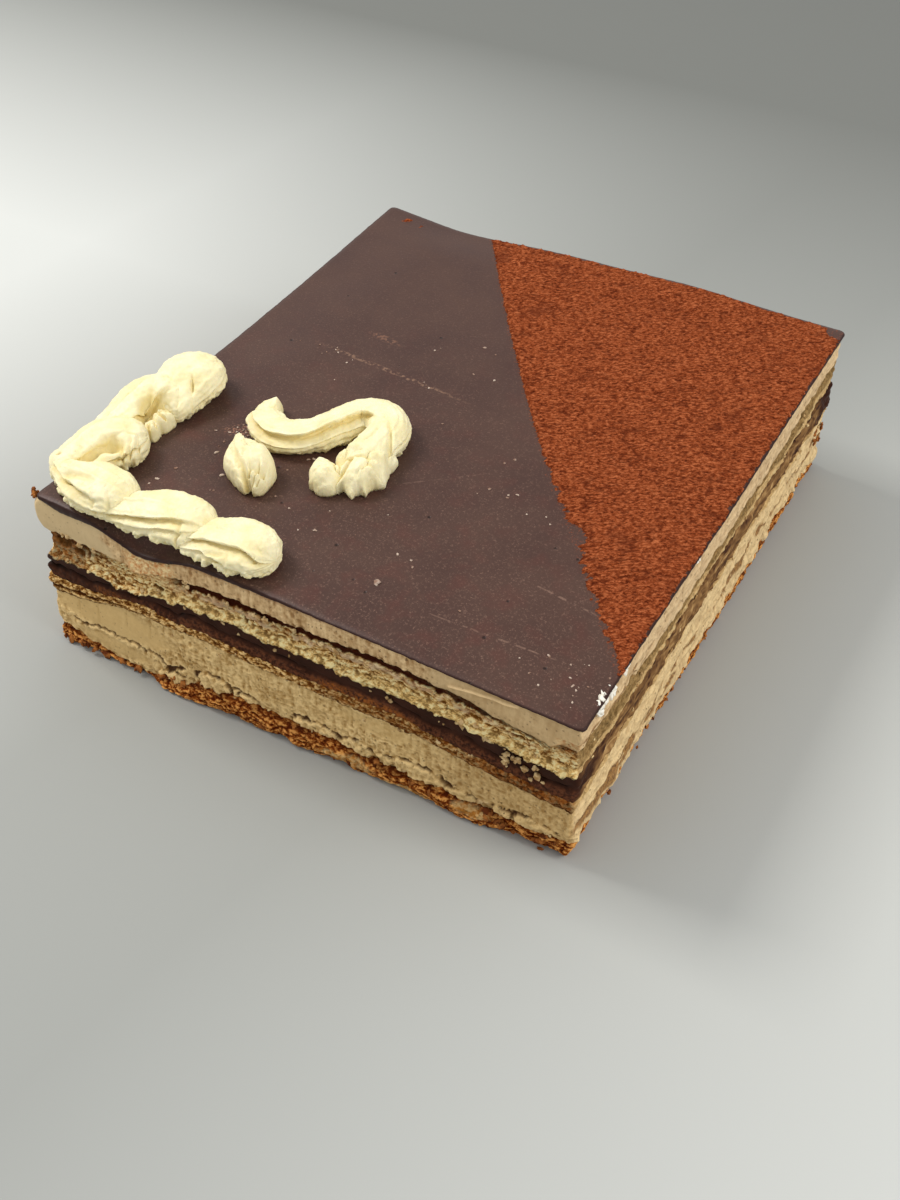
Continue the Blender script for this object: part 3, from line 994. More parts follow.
# Marks on the glaze: x, y, turn in degrees, half-length, half-width, grain, strength and shade.
GLAZE_MARKS = (
    (-35.0, 5.2, -4.5, 38.0, 1.3, 1.6, 0.55, tint(150, 116, 92)),
    (-62.0, -49.6, 24.0, 7.0, 4.0, 0.9, 0.7, tint(158, 112, 90)),
    (73.0, -68.0, -6.0, 16.0, 0.5, 2.4, 0.5, tint(138, 108, 92)),
    (62.0, -92.0, 3.0, 30.0, 0.45, 3.0, 0.45, tint(138, 108, 92)),
    (-48.0, 22.0, -8.0, 9.0, 2.2, 1.2, 0.5, tint(140, 100, 78)),
    (10.0, -40.0, 40.0, 24.0, 0.35, 3.0, 0.35, tint(126, 98, 84)),
)
glaze = pour_glaze()
satin = Finish("glaze", 0.42, 0.2)
clouds = satin.clouds(26.0, 4.0)
cover = satin.blend(satin.fit(clouds, 0.35, 0.65), tint(70, 48, 41), tint(78, 55, 46))
place = satin.node("ShaderNodeSeparateXYZ", {"Vector": satin.where()})
front_share = satin.fit(place.outputs["Y"], -HALF_DEPTH * MM, 0.06, 1.0, 0.0)
speckle = satin.fit(satin.clouds(0.7, 3.0, roughness=0.85), 0.55, 0.70)
speckle = satin.maths("MULTIPLY", speckle, satin.fit(front_share, 0.0, 1.0, 0.16, 0.42))
cover = satin.blend(speckle, cover, tint(166, 130, 110))
for x, y, turn, long, wide, grain_size, strength, shade in GLAZE_MARKS:
    broken = satin.fit(satin.clouds(grain_size, 4.0), 0.5, 0.56)
    mark = satin.maths("MULTIPLY", satin.spot(x, y, turn, long, wide), broken)
    cover = satin.blend(satin.maths("MULTIPLY", mark, strength), cover, shade)
blush = satin.fit(satin.clouds(9.0, 3.0), 0.5, 0.75, 0.0, 0.45)
cover = satin.blend(satin.maths("MULTIPLY", blush, front_share), cover, tint(92, 48, 40))
dust_noise = satin.clouds(1.0, 4.0, roughness=0.85)
dust_reach = satin.fit(satin.mask("to_cocoa"), -3.5, 0.0, 0.74, 0.56)
dust = satin.fit(satin.maths("SUBTRACT", dust_noise, dust_reach), 0.0, 0.05)
cover = satin.blend(dust, cover, tint(126, 66, 40))
cover = satin.blend(satin.mask("edge"), cover, tint(48, 24, 17))
satin.feed(satin.surface.inputs["Roughness"], satin.fit(clouds, 0.3, 0.7, 0.38, 0.5))
pin_cells = satin.node("ShaderNodeTexVoronoi", {"Vector": satin.where(), "Scale": 95.0})
pin_holes = satin.fit(pin_cells.outputs["Distance"], 0.04, 0.07, -1.0, 0.0)
cover = satin.blend(satin.fit(pin_holes, -1.0, 0.0, 0.8, 0.0), cover, tint(24, 12, 8))
satin.feed(satin.surface.inputs["Base Color"], cover)
satin.uneven(satin.maths("ADD", satin.clouds(0.9, 3.0), satin.maths("MULTIPLY", pin_holes, 3.0)), 0.05)
glaze.data.materials.append(satin.material)
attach(glaze, "root")
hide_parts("glaze")


# The cocoa: powder sieved over a card, so its long edge is straight and crisp at the back and loose
# towards the front. It lies up to a millimetre deep, in grains and small clots, and it fell off along
# the right edge and at the back corner. A wiped trace of it is left near the back left corner.
COCOA_STEP = 0.5
COCOA_DEPTH = 0.18  # under its grains


def sieve_cocoa():
    """A granular sheet of powder over the glaze, closed down to the glaze along its ragged rim."""
    line_x = np.arange(-98.0, 101.4, COCOA_STEP)
    line_y = np.arange(-94.0, 109.6, COCOA_STEP)
    x, y = np.meshgrid(line_x, line_y, indexing="ij")
    past = cocoa_side(x, y)
    loose = 0.22 + 1.5 * ease((5.0 - y) / 50.0)
    wavy = 0.6 * ripple(x / 1.3, y / 1.3, 0.0, 121) + 0.7 * ripple(x / 4.0, y / 4.0, 0.0, 122)
    edge = past + loose * wavy
    step_back = 4.0 * mound(x, y, 61.0, -41.0, 8.0, 4.5)
    from_right = 100.6 - x - 0.4 * ripple(y / 3.0, 0.0, 0.0, 123) - 0.35 * ripple(y / 0.9, 0.0, 0.0, 124)
    from_back = 110.2 - 2.2 * bell(x, -62.0, 40.0) - y - 0.7 - 0.6 * ripple(x / 2.5, 0.0, 0.0, 125)
    corner = np.hypot(HALF_WIDTH - x, HALF_DEPTH - y) - 6.0 - 1.8 * ripple(x / 3.0, y / 3.0, 0.0, 126)
    covered = np.minimum.reduce([edge - step_back, from_right, from_back, corner]) > 0.0
    holes = ripple(x / 1.0, y / 1.0, 0.0, 127) > 0.45 + ease(past / (0.5 + 2.4 * loose))
    covered &= ~(holes & (past < 4.0))
    wiped = mound(x, y, -84.0, 101.6, 10.5, 2.6) > 0.1
    wiped &= ripple((x + y) / 5.0, (y - 0.25 * x) / 0.8, 0.0, 128) + 0.5 * ripple(x, y, 0.0, 129) > 0.1
    covered |= wiped
    padded = np.pad(covered, 1)
    inside = covered.copy()
    for dx in (-1, 0, 1):
        for dy in (-1, 0, 1):
            inside &= padded[1 + dx:1 + dx + x.shape[0], 1 + dy:1 + dy + x.shape[1]]
    jog_x = x + 0.18 * ripple(x / 0.7, y / 0.7, 0.0, 130)
    jog_y = y + 0.18 * ripple(x / 0.7, y / 0.7, 0.0, 131)
    along = 0.85 * jog_x + 0.52 * jog_y
    over = 0.85 * jog_y - 0.52 * jog_x
    folds = 0.8 * abs(ripple(along / 2.6, over / 1.15, 0.0, 132))
    folds = folds + 0.7 * abs(ripple(along / 1.3, over / 0.8, 0.0, 135))
    fine, _, _ = bubbles(jog_x / 0.9, jog_y / 0.9, 0.0, 133)
    bumps = 0.62 * folds + 0.26 * np.clip(1.0 - fine / 0.6, 0.0, 1.0) + 0.10 * rough(x, y, 0.0, 4.0, 134, 2)
    height = glaze_skin(jog_x, jog_y) + np.where(inside, COCOA_DEPTH + bumps, -0.08)
    height = height - np.where(wiped & inside, 0.22, 0.0)
    kept = covered[:-1, :-1] & covered[1:, :-1] & covered[1:, 1:] & covered[:-1, 1:]
    index = np.arange(x.size).reshape(x.shape)
    quads = np.stack([index[:-1, :-1], index[1:, :-1], index[1:, 1:], index[:-1, 1:]], axis=-1)[kept]
    used = np.unique(quads)
    renumber = np.full(x.size, -1)
    renumber[used] = np.arange(len(used))
    points = np.stack([jog_x, jog_y, height], axis=-1).reshape(-1, 3)[used]
    hollow = np.clip(1.0 - bumps / 0.38, 0.0, 1.0).reshape(-1)[used]
    return food_mesh("cocoa_powder", points, renumber[quads].tolist(), {"hollow": hollow})


cocoa = sieve_cocoa()
powder = Finish("cocoa", 0.95, 0.05)
drifted = {"Vector": powder.where(), "Rotation": (0.0, 0.0, 0.55), "Scale": (1.7, 0.8, 1.0)}
drift = powder.node("ShaderNodeMapping", drifted, vector_type="TEXTURE").outputs["Vector"]
grains = powder.clouds(0.9, 4.0, drift, 0.75)
dusty = powder.shades(grains, (0.37, tint(82, 30, 11)), (0.5, tint(138, 65, 32)), (0.63, tint(184, 104, 63)))
dusty = powder.dress(dusty, "hollow", tint(76, 26, 9), 0.72, 0.1, 0.8)
dusty = powder.blend(powder.fit(powder.clouds(15.0, 5.0), 0.60, 0.72, 0.0, 0.5), dusty, tint(96, 42, 22))
powder.feed(powder.surface.inputs["Base Color"], dusty)
powder.uneven(grains, 0.6)
cocoa.data.materials.append(powder.material)
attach(cocoa, "root")


# Crumbs, flakes and scraps: what the knife and the palette knife left. Pale sponge crumbs and flakes
# sit on the cut, browned ones at its foot and at the glaze's left corner, white cream scraps on the
# right edge, and small dried specks on the glaze.
def front_wall(x, z):
    """Where the front stands at a height, as y."""
    return -HALF_DEPTH - 0.4 - front_runs_out(x) * (1.0 - z / HEIGHT)


def uneven_lump(rng, size, facing):
    """A torn crumb: a ball pushed about at random, flattened against the surface it sits on."""
    rings = 5
    turns = 8
    points = [(0.0, 0.0, 1.0)]
    for ring in range(1, rings):
        fall = math.pi * ring / rings
        for turn in range(turns):
            angle = math.tau * (turn + 0.5 * (ring % 2)) / turns
            wide = math.sin(fall)
            points.append((wide * math.cos(angle), wide * math.sin(angle), math.cos(fall)))
    points.append((0.0, 0.0, -1.0))
    points = np.array(points)
    shift = rng.uniform(0.0, 90.0)
    push = 1.0 + 0.95 * ripple(points[:, 0] * 1.9 + shift, points[:, 1] * 1.9, points[:, 2] * 1.9, 141)
    spin = Matrix.Rotation(rng.uniform(0, math.tau), 3, "Z")
    points = (points * push[:, None]) * np.array(size) / 2.0
    points = points @ np.array(spin).T
    normal = np.array(facing) / np.linalg.norm(facing)
    side = np.cross((0.13, 0.21, 1.0), normal)
    side /= np.linalg.norm(side)
    points = points @ np.array([side, np.cross(normal, side), normal])
    faces = []
    for turn in range(turns):
        after = (turn + 1) % turns
        faces.append((0, 1 + turn, 1 + after))
        base = 1 + (rings - 2) * turns
        faces.append((base + after, base + turn, len(points) - 1))
        for ring in range(rings - 2):
            low, high = 1 + ring * turns, 1 + (ring + 1) * turns
            faces.append((low + turn, high + turn, high + after, low + after))
    return points, faces


def scatter(name, spots, seed):
    """One mesh of many crumbs; a spot is x, y, z, the way it faces and its size along and across."""
    rng = np.random.default_rng(seed)
    points, faces = [], []
    count = 0
    for x, y, z, facing, size in spots(rng):
        lump, sides = uneven_lump(rng, size, facing)
        points.append(lump + np.array([x, y, z]))
        faces += [tuple(count + i for i in side) for side in sides]
        count += len(lump)
    return food_mesh(name, np.concatenate(points), faces, {})


def pale_spots(rng):
    """Sponge crumbs and flakes on the cut face and the torn side."""
    front = (0.0, -1.0, 0.1)
    rows = (
        (-40, 20, 51.6, 53.4, 16, 1.4), (76, 92, 32.0, 40.0, 16, 1.5), (51, 66, 29.5, 31.5, 10, 1.5),
        (-92, -74, 49.0, 51.5, 6, 1.6), (60, 74, 42.0, 46.0, 10, 1.8), (-60, -38, 49.0, 58.0, 16, 1.2),
        (-100, 98, 40.0, 45.0, 26, 1.0), (-40, 98, 8.0, 12.0, 26, 1.5), (-60, 98, 26.0, 31.0, 16, 1.0),
    )
    for x0, x1, z0, z1, count, size in rows:
        for _ in range(count):
            x, z = rng.uniform(x0, x1), rng.uniform(z0, z1)
            wide = size * rng.uniform(0.5, 1.3)
            yield x, front_wall(x, z) + 0.2, z, front, (wide * rng.uniform(1.0, 1.8), wide, wide * 0.7)
    for _ in range(50):
        y, z = rng.uniform(-108, 108), rng.choice((44.0, 36.0, 28.0, 12.0)) + rng.normal(0.0, 3.0)
        wide = rng.uniform(0.5, 1.2)
        yield 100.2, y, max(z, 8.0), (1.0, 0.0, 0.1), (wide * rng.uniform(1.0, 2.0), wide, wide * 0.7)


def brown_spots(rng):
    """Browned crumbs along the foot of the front, and the one that hangs at the glaze's left corner."""
    for _ in range(90):
        x = rng.uniform(-100, 98)
        z = rng.uniform(0.6, 8.0) if x > -62 else rng.uniform(0.6, 3.0)
        wide = rng.uniform(0.8, 2.4)
        y = front_wall(x, z) - rng.uniform(-0.4, 0.7)
        yield x, y, z, (0.0, -1.0, 0.3), (wide * 1.7, wide, wide * 0.6)
    for _ in range(9):
        yield (-103.6 + 0.7 * rng.normal(), -108.0 + 1.4 * rng.normal(), 61.8 + 0.5 * rng.normal(),
               (-0.6, -0.5, 0.6), (2.2, 1.6, 1.1))
    for _ in range(26):
        y = rng.uniform(-106, 106)
        wide = rng.uniform(0.8, 1.8)
        yield 99.6, y, rng.uniform(1.0, 6.0), (1.0, 0.0, 0.2), (wide * 1.4, wide, wide * 0.8)
    for _ in range(10):
        yield (100.3, rng.uniform(98, 108), rng.uniform(15, 25), (1.0, 0.0, 0.0), (2.4, 1.6, 0.9))


def white_spots(rng):
    """Scraps of piping cream caught on the right edge."""
    for y0, y1, count, size in ((-101, -90, 26, 2.0), (-84, -80, 5, 1.4), (-31, -29, 3, 1.3)):
        for _ in range(count):
            y = rng.uniform(y0, y1)
            wide = size * rng.uniform(0.5, 1.2)
            rise = rng.uniform(-2.6, 0.3)
            x = 100.3 - 0.5 * (rise > -0.4)
            yield x, y, 63.4 + rise, (0.8, 0.0, 0.6), (wide * 1.4, wide, wide * 0.6)


def speck_spots(rng):
    """Dried specks and grains on the glaze."""
    groups = (
        (-66, -56, -54, -46, 26, 0.55), (-72, -30, -88, -40, 22, 0.75), (-30, 60, -100, -10, 26, 0.6),
        (-60, 30, -20, 40, 12, 0.6), (18, 22, -92, -89, 3, 1.6), (70, 99, -105, -88, 18, 0.5),
        (-80, -50, 2, 9, 8, 0.5),
    )
    for x0, x1, y0, y1, count, size in groups:
        for _ in range(count):
            x, y = rng.uniform(x0, x1), rng.uniform(y0, y1)
            wide = size * rng.uniform(0.6, 1.5)
            z = float(glaze_skin(np.array([x]), np.array([y]))[0])
            yield x, y, z + 0.08, (0.05, 0.0, 1.0), (wide * rng.uniform(1.0, 1.8), wide, wide * 0.5)


def crumb_finish(name, dark_shade, light_shade, roughness):
    """Crumbs: two shades that change from one to the next, with a grainy skin."""
    crumb = Finish(name, roughness, 0.15)
    grain = crumb.group(crumb_group, Place=crumb.where())
    tone = crumb.fit(crumb.clouds(2.4, 2.0), 0.38, 0.62)
    crumb.feed(crumb.surface.inputs["Base Color"], crumb.blend(tone, dark_shade, light_shade))
    crumb.uneven(grain.outputs["Height"], 0.15)
    return crumb.material


for name, spots, seed, slot, dark_shade, light_shade, roughness in (
    ("crumbs_pale", pale_spots, 151, "sponge", tint(172, 132, 82), tint(226, 196, 144), 0.85),
    ("crumbs_browned", brown_spots, 152, "soaked_sponge", tint(96, 44, 12), tint(176, 110, 52), 0.85),
    ("cream_scraps", white_spots, 153, "piped_cream", tint(236, 226, 206), tint(250, 246, 234), 0.55),
    ("glaze_specks", speck_spots, 154, "piped_cream", tint(140, 108, 90), tint(206, 186, 168), 0.7),
):
    scraps = scatter(name, spots, seed)
    scraps.data.materials.append(crumb_finish(name, dark_shade, light_shade, roughness))
    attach(scraps, "root")


# The piped border: six shells of ivory butter cream from a star nozzle, each begun on the last one's
# head. Every shell keeps the nozzle's furrows, which turn and deepen towards its head, and its lower
# edge is torn into small points where the cream met the glaze.
BELLY = 0.42  # share of the height at which a strand is widest
SHELL_STATIONS = 128  # points along a shell
SHELLS = (
    # tail, head, bow, half-width at the tail and the head, height, depth of the torn points
    ((-90.0, -59.0), (-90.5, -27.0), 0.0, 9.5, 12.7, 14.5, 1.7),
    ((-98.5, -77.0), (-91.0, -44.0), 1.0, 7.5, 11.0, 13.5, 1.2),
    ((-100.0, -101.0), (-83.0, -72.0), 1.5, 7.0, 11.8, 13.5, 1.4),
    ((-101.0, -98.0), (-64.0, -102.0), -2.0, 4.0, 9.8, 13.0, 1.3),
    ((-74.0, -106.0), (-34.0, -99.5), 0.5, 5.6, 9.9, 12.0, 1.3),
    ((-42.0, -103.0), (-8.5, -101.3), 0.7, 7.5, 10.2, 12.0, 1.3),
)
# Furrows: course as (share of the length, angle: 0 right, 90 top), depth, width above and below, from, to.
FURROWS = (
    ((((0, 118), (1, 100)), 0.06, 22, 22, 0.0, 0.7), (((0, -8), (1, 5)), 0.14, 8, 12, 0.2, 1.2)),
    ((((0, 28), (1, 62)), 0.34, 14, 26, 0.1, 0.9), (((0, 112), (1, 122)), 0.14, 12, 26, -0.2, 1.0),
     (((0, -8), (1, 8)), 0.16, 8, 12, 0.0, 1.2)),
    ((((0, 34), (1, 66)), 0.26, 14, 26, 0.0, 0.9), (((0, 112), (1, 124)), 0.14, 12, 28, -0.2, 1.0),
     (((0, 0), (1, 16)), 0.16, 8, 12, 0.1, 1.2), (((0, 160), (1, 150)), 0.10, 14, 14, 0.0, 1.0)),
    ((((0, 48), (1, 20)), 0.30, 10, 24, -0.16, 0.90), (((0, 98), (1, 84)), 0.10, 8, 24, -0.1, 1.1),
     (((0, 124), (1, 112)), 0.08, 8, 18, -0.1, 1.1), (((0, 6), (1, -4)), 0.18, 8, 12, 0.0, 1.2)),
    ((((0.0, 20), (0.17, 22), (0.32, 27), (0.46, 31), (0.60, 40), (0.75, 52), (1.0, 52)),
      0.30, 8, 17, -0.16, 1.06),
     (((0.0, -8), (0.17, -5), (0.33, 1), (0.48, 8), (0.63, 18), (0.8, 26)), 0.13, 7, 15, 0.0, 1.1),
     (((0, 66), (0.5, 72), (0.8, 84), (1, 70)), 0.07, 14, 14, 0.0, 1.1),
     (((0, 104), (1, 92)), 0.10, 9, 32, -0.2, 1.0), (((0, 164), (1, 158)), 0.08, 12, 16, 0.0, 1.0)),
    ((((0.0, 34), (0.11, 38), (0.37, 42), (0.63, 50), (0.74, 51), (0.83, 47), (0.91, 34), (1.0, 8)),
      0.30, 8, 22, -0.16, 1.3),
     (((0.0, 2), (0.26, 8), (0.5, 9), (0.62, 5), (0.74, -12)), 0.15, 8, 14, 0.0, 1.0),
     (((0, 74), (0.5, 78), (0.75, 80), (0.9, 62), (1, 30)), 0.08, 13, 13, 0.1, 1.2),
     (((0, 102), (1, 92)), 0.10, 9, 32, -0.2, 1.0), (((0, 164), (1, 158)), 0.08, 12, 16, 0.0, 1.0)),
)
# Dents: x, y, half-length, half-width, turn in degrees, depth.
DENTS = (
    ((-83.7, -46.4, 2.7, 0.6, 124, 1.7), (-83.5, -46.6, 5.2, 4.0, 124, 0.9)),
    ((-87.4, -62.8, 5.4, 2.6, 62, 4.6), (-91.2, -62.5, 3.2, 1.4, 70, 2.6),
     (-92.7, -60.0, 4.5, 3.0, 30, 1.2)),
    ((-84.8, -86.8, 4.0, 2.2, 25, 3.0), (-88.5, -92.0, 6.0, 1.1, 58, 1.3),
     (-87.8, -79.8, 5.0, 2.6, 40, 1.3), (-100.2, -96.7, 1.0, 0.8, 0, 1.8),
     (-82.6, -79.5, 1.8, 0.5, 30, 0.9)),
    ((-84.0, -105.4, 8.5, 1.5, 2, 1.5),),
    ((-35.4, -106.7, 0.9, 0.7, 0, 0.9),),
    ((-12.4, -106.4, 0.5, 0.4, 0, 0.8), (-25.8, -110.0, 4.2, 0.7, 8, 1.2)),
)
# Creases pressed in from above: line, depth at its start and end, width to its left and right.
CREASES = (
    (((-84.4, -53.4), (-83.6, -55.4), (-82.6, -57.4), 0.1, 0.9, 0.8, 1.3),
     ((-81.6, -49.8), (-80.2, -52.0), (-79.2, -53.0), 0.1, 0.9, 0.6, 1.2)),
    (((-92.8, -57.0), (-91.3, -60.0), (-91.2, -64.0), (-89.0, -69.0), 0.4, 2.6, 1.0, 1.4),
     ((-86.9, -58.0), (-84.8, -58.2), (-83.4, -58.8), 1.5, 3.0, 0.5, 0.8)),
    (((-81.6, -81.0), (-79.9, -84.6), (-78.8, -87.6), 0.5, 1.4, 0.6, 1.1),
     ((-83.0, -84.2), (-80.7, -87.6), (-79.4, -90.0), 0.4, 1.2, 0.6, 1.1),
     ((-81.0, -78.4), (-79.6, -80.6), (-78.2, -82.8), 0.3, 1.2, 0.6, 1.0)),
    (((-76.6, -106.2), (-74.6, -108.6), (-72.6, -111.0), 0.2, 0.9, 0.9, 1.5),
     ((-70.0, -106.0), (-68.0, -108.6), (-67.0, -111.0), 0.2, 1.5, 0.8, 1.6)),
    (((-41.5, -105.5), (-40.2, -107.6), (-40.6, -110.4), 0.3, 2.0, 0.8, 1.4),),
    (((-21.8, -108.2), (-20.4, -110.0), (-20.0, -112.0), 0.1, 1.0, 0.7, 1.3),),
)
ACROSS = 106  # points over a strand, from foot to foot
UNDER = 4  # points under it, between its feet


def press(x, y, creases):
    """How far creases drawn from above press a surface down: deep along a line, fading to its sides."""
    total = np.zeros(x.shape)
    for crease in creases:
        first, last, left, right = crease[-4:]
        line = smooth_route(crease[:-4], 16)
        nearest = np.full(x.shape, 1e9)
        place = np.zeros(x.shape)
        beside = np.zeros(x.shape)
        for index, (a, b) in enumerate(zip(line, line[1:])):
            dx, dy = b - a
            length = dx * dx + dy * dy
            part = np.clip(((x - a[0]) * dx + (y - a[1]) * dy) / length, 0.0, 1.0)
            away = np.hypot(x - a[0] - part * dx, y - a[1] - part * dy)
            closer = away < nearest
            nearest = np.where(closer, away, nearest)
            place = np.where(closer, (index + part) / (len(line) - 1), place)
            beside = np.where(closer, dx * (y - a[1]) - dy * (x - a[0]), beside)
        width = np.where(beside > 0, left, right)
        total = np.maximum(total, (first + (last - first) * place) * ease(1.0 - nearest / width))
    return total


def jags(run, height, seed):
    """Torn points along a lower edge, -1 to 1, uneven in size and spacing."""
    wide = 1.0 - 2.4 * abs(ripple(run / 3.6, height / 6.0, 0.0, seed))
    fine = 1.0 - 2.0 * abs(ripple(run / 1.5, height / 3.0, 0.0, seed + 1))
    return 0.85 * wide * (1.0 + 0.8 * ripple(run / 9.0, 0.0, 0.0, seed + 2)) + 0.45 * fine - 0.45


def pipe(route, left, right, height, closing, furrows, taper, ruffle, dents, creases, seed):
    """One squeezed strand along a route seen from above: its points, faces and how deep each point lies.

    Closing draws the strand in at its ends, taper is the share of the length over which a furrow begins
    and ends, and ruffle is the depth in mm of the torn points along the lower edge.
    """
    stations = len(route)
    step = np.gradient(route, axis=0)
    step /= np.linalg.norm(step, axis=1)[:, None]
    across = np.stack([step[:, 1], -step[:, 0]], axis=1)
    run = np.concatenate([[0.0], np.cumsum(np.linalg.norm(np.diff(route, axis=0), axis=1))])
    share = (run / run[-1])[:, None]
    angle = np.linspace(-48.0, 228.0, ACROSS)[None, :]
    wander = 5.0 * ripple(run[:, None] / 9.0, angle / 60.0, 0.0, seed + 21)
    wander = wander + 1.8 * ripple(run[:, None] / 2.6, angle / 30.0, 0.0, seed + 22)
    furrow = np.zeros((stations, ACROSS))
    for course, depth, above, below, begin, end in furrows:
        gap = angle + wander - along_stations(course, share, 0.06)
        near_top = gap if course[0][1] < 90 else -gap
        gap = np.where(near_top > 0, near_top / above, -near_top / below)
        trough = np.where(near_top > 0, ease((1.0 - gap) / 0.5), np.clip(1.0 - gap, 0.0, 1.0))
        lip = 0.14 * bell(gap, 1.35, 0.35) * (near_top > 0) + 0.16 * bell(gap, -1.2, 0.25)
        fade = ease((share - begin) / taper[0]) * ease((end - share) / taper[1])
        cut = depth * trough * fade
        furrow = np.where(cut > abs(furrow), cut, furrow - depth * lip * fade)
    cos_a, sin_a = np.cos(np.radians(angle)), np.sin(np.radians(angle))
    reach = closing[:, None] * (1.0 - furrow)
    half = np.where(cos_a > 0, right[:, None], left[:, None])
    low_reach = 0.55 + 0.45 * closing[:, None]
    dome = BELLY + (1.0 - BELLY) * reach * sin_a
    rise = np.where(sin_a > 0, dome, BELLY * (1.0 + 1.38 * sin_a * low_reach))
    rise = np.maximum(height[:, None] * rise, 0.0)
    out = half * reach * cos_a
    near_glaze = ease(1.25 - rise / (0.42 * height[:, None]))
    side = np.where(cos_a > 0, 0.0, 60.0)
    torn_edge = ruffle * near_glaze * jags(run[:, None] + side, rise, seed)
    out = out + np.sign(cos_a) * torn_edge * closing[:, None]
    x = route[:, 0][:, None] + across[:, 0][:, None] * out
    y = route[:, 1][:, None] + across[:, 1][:, None] * out
    z = table_top(x, y) + 0.1 + rise
    deep = np.clip(furrow, 0.0, 1.0) / 0.36
    for dent_x, dent_y, long, wide, turn, depth in dents:
        c, s = math.cos(math.radians(turn)), math.sin(math.radians(turn))
        along = ((x - dent_x) * c + (y - dent_y) * s) / long
        over = (-(x - dent_x) * s + (y - dent_y) * c) / wide
        hollow = np.exp(-(along ** 2 + over ** 2) ** 1.4) * ease(rise / (0.4 * height[:, None]))
        z = z - depth * hollow
        deep = deep + 0.40 * min(depth, 2.5) * hollow
    pressed = press(x, y, creases) * ease(rise / 2.5)
    z = z - pressed
    deep = deep + 0.45 * pressed
    grid = np.stack([x, y, z], axis=-1)
    normal = np.cross(np.gradient(grid, axis=0), np.gradient(grid, axis=1))
    normal /= np.maximum(np.linalg.norm(normal, axis=-1), 1e-9)[..., None]
    holes = pits(x, y, z, 1.3, 0.10, seed + 3) + 1.3 * near_glaze * pits(x, y, z, 1.2, 0.4, seed + 4)
    bump = 0.30 * rough(x, y, z, 5.0, seed + 5, 3) + 0.17 * rough(x, y, z, 1.3, seed + 8, 2)
    bump = bump + 0.16 * ripple(run[:, None] / 15.0, (angle + wander) / 7.0, 0.0, seed + 31)
    bump = bump + near_glaze * 0.45 * rough(x, y, z, 1.9, seed + 10, 3) - 0.30 * holes
    fixed = (rise > 0.02) * np.minimum(1.0, closing[:, None] * 3.0)
    grid = grid - normal * (bump * fixed)[..., None]
    grid[..., 2] = np.maximum(grid[..., 2], table_top(grid[..., 0], grid[..., 1]) + 0.05)
    under = []
    for part in range(1, UNDER + 1):
        t = part / (UNDER + 1)
        under.append(grid[:, -1] * (1.0 - t) + grid[:, 0] * t)
    rings = np.concatenate([grid, np.stack(under, axis=1)], axis=1)
    masks = {}
    for key, values in (("deep", deep), ("torn", near_glaze + 0.0 * deep)):
        values = np.concatenate([np.clip(values, 0.0, 1.0), np.zeros((stations, UNDER))], axis=1)
        masks[key] = np.concatenate([values.ravel(), [0.0, 0.0]])
    points, faces = closed_rings(rings, rings[0].mean(axis=0), rings[-1].mean(axis=0))
    return points, faces, masks


def folded(x, y, knobs):
    """Cream gathered in rounded folds: how far each point bulges, and how deep it lies between two folds."""
    x = x + 1.3 * ripple(x / 2.6, y / 2.6, 0.0, 401) + 0.5 * ripple(x / 1.1, y / 1.1, 0.0, 403)
    y = y + 1.3 * ripple(x / 2.6, y / 2.6, 0.0, 402)
    far = [np.hypot(x - knob_x, y - knob_y) / radius for knob_x, knob_y, radius in knobs]
    far = np.sort(np.stack(far), axis=0)
    depth = 0.6 + 0.5 * ripple(x / 4.0, y / 4.0, 0.0, 404)
    between = depth * np.clip(1.0 - (far[1] - far[0]) / 0.42, 0.0, 1.0) ** 1.3
    return np.clip(1.0 - far[0] ** 2, 0.0, 1.0), between


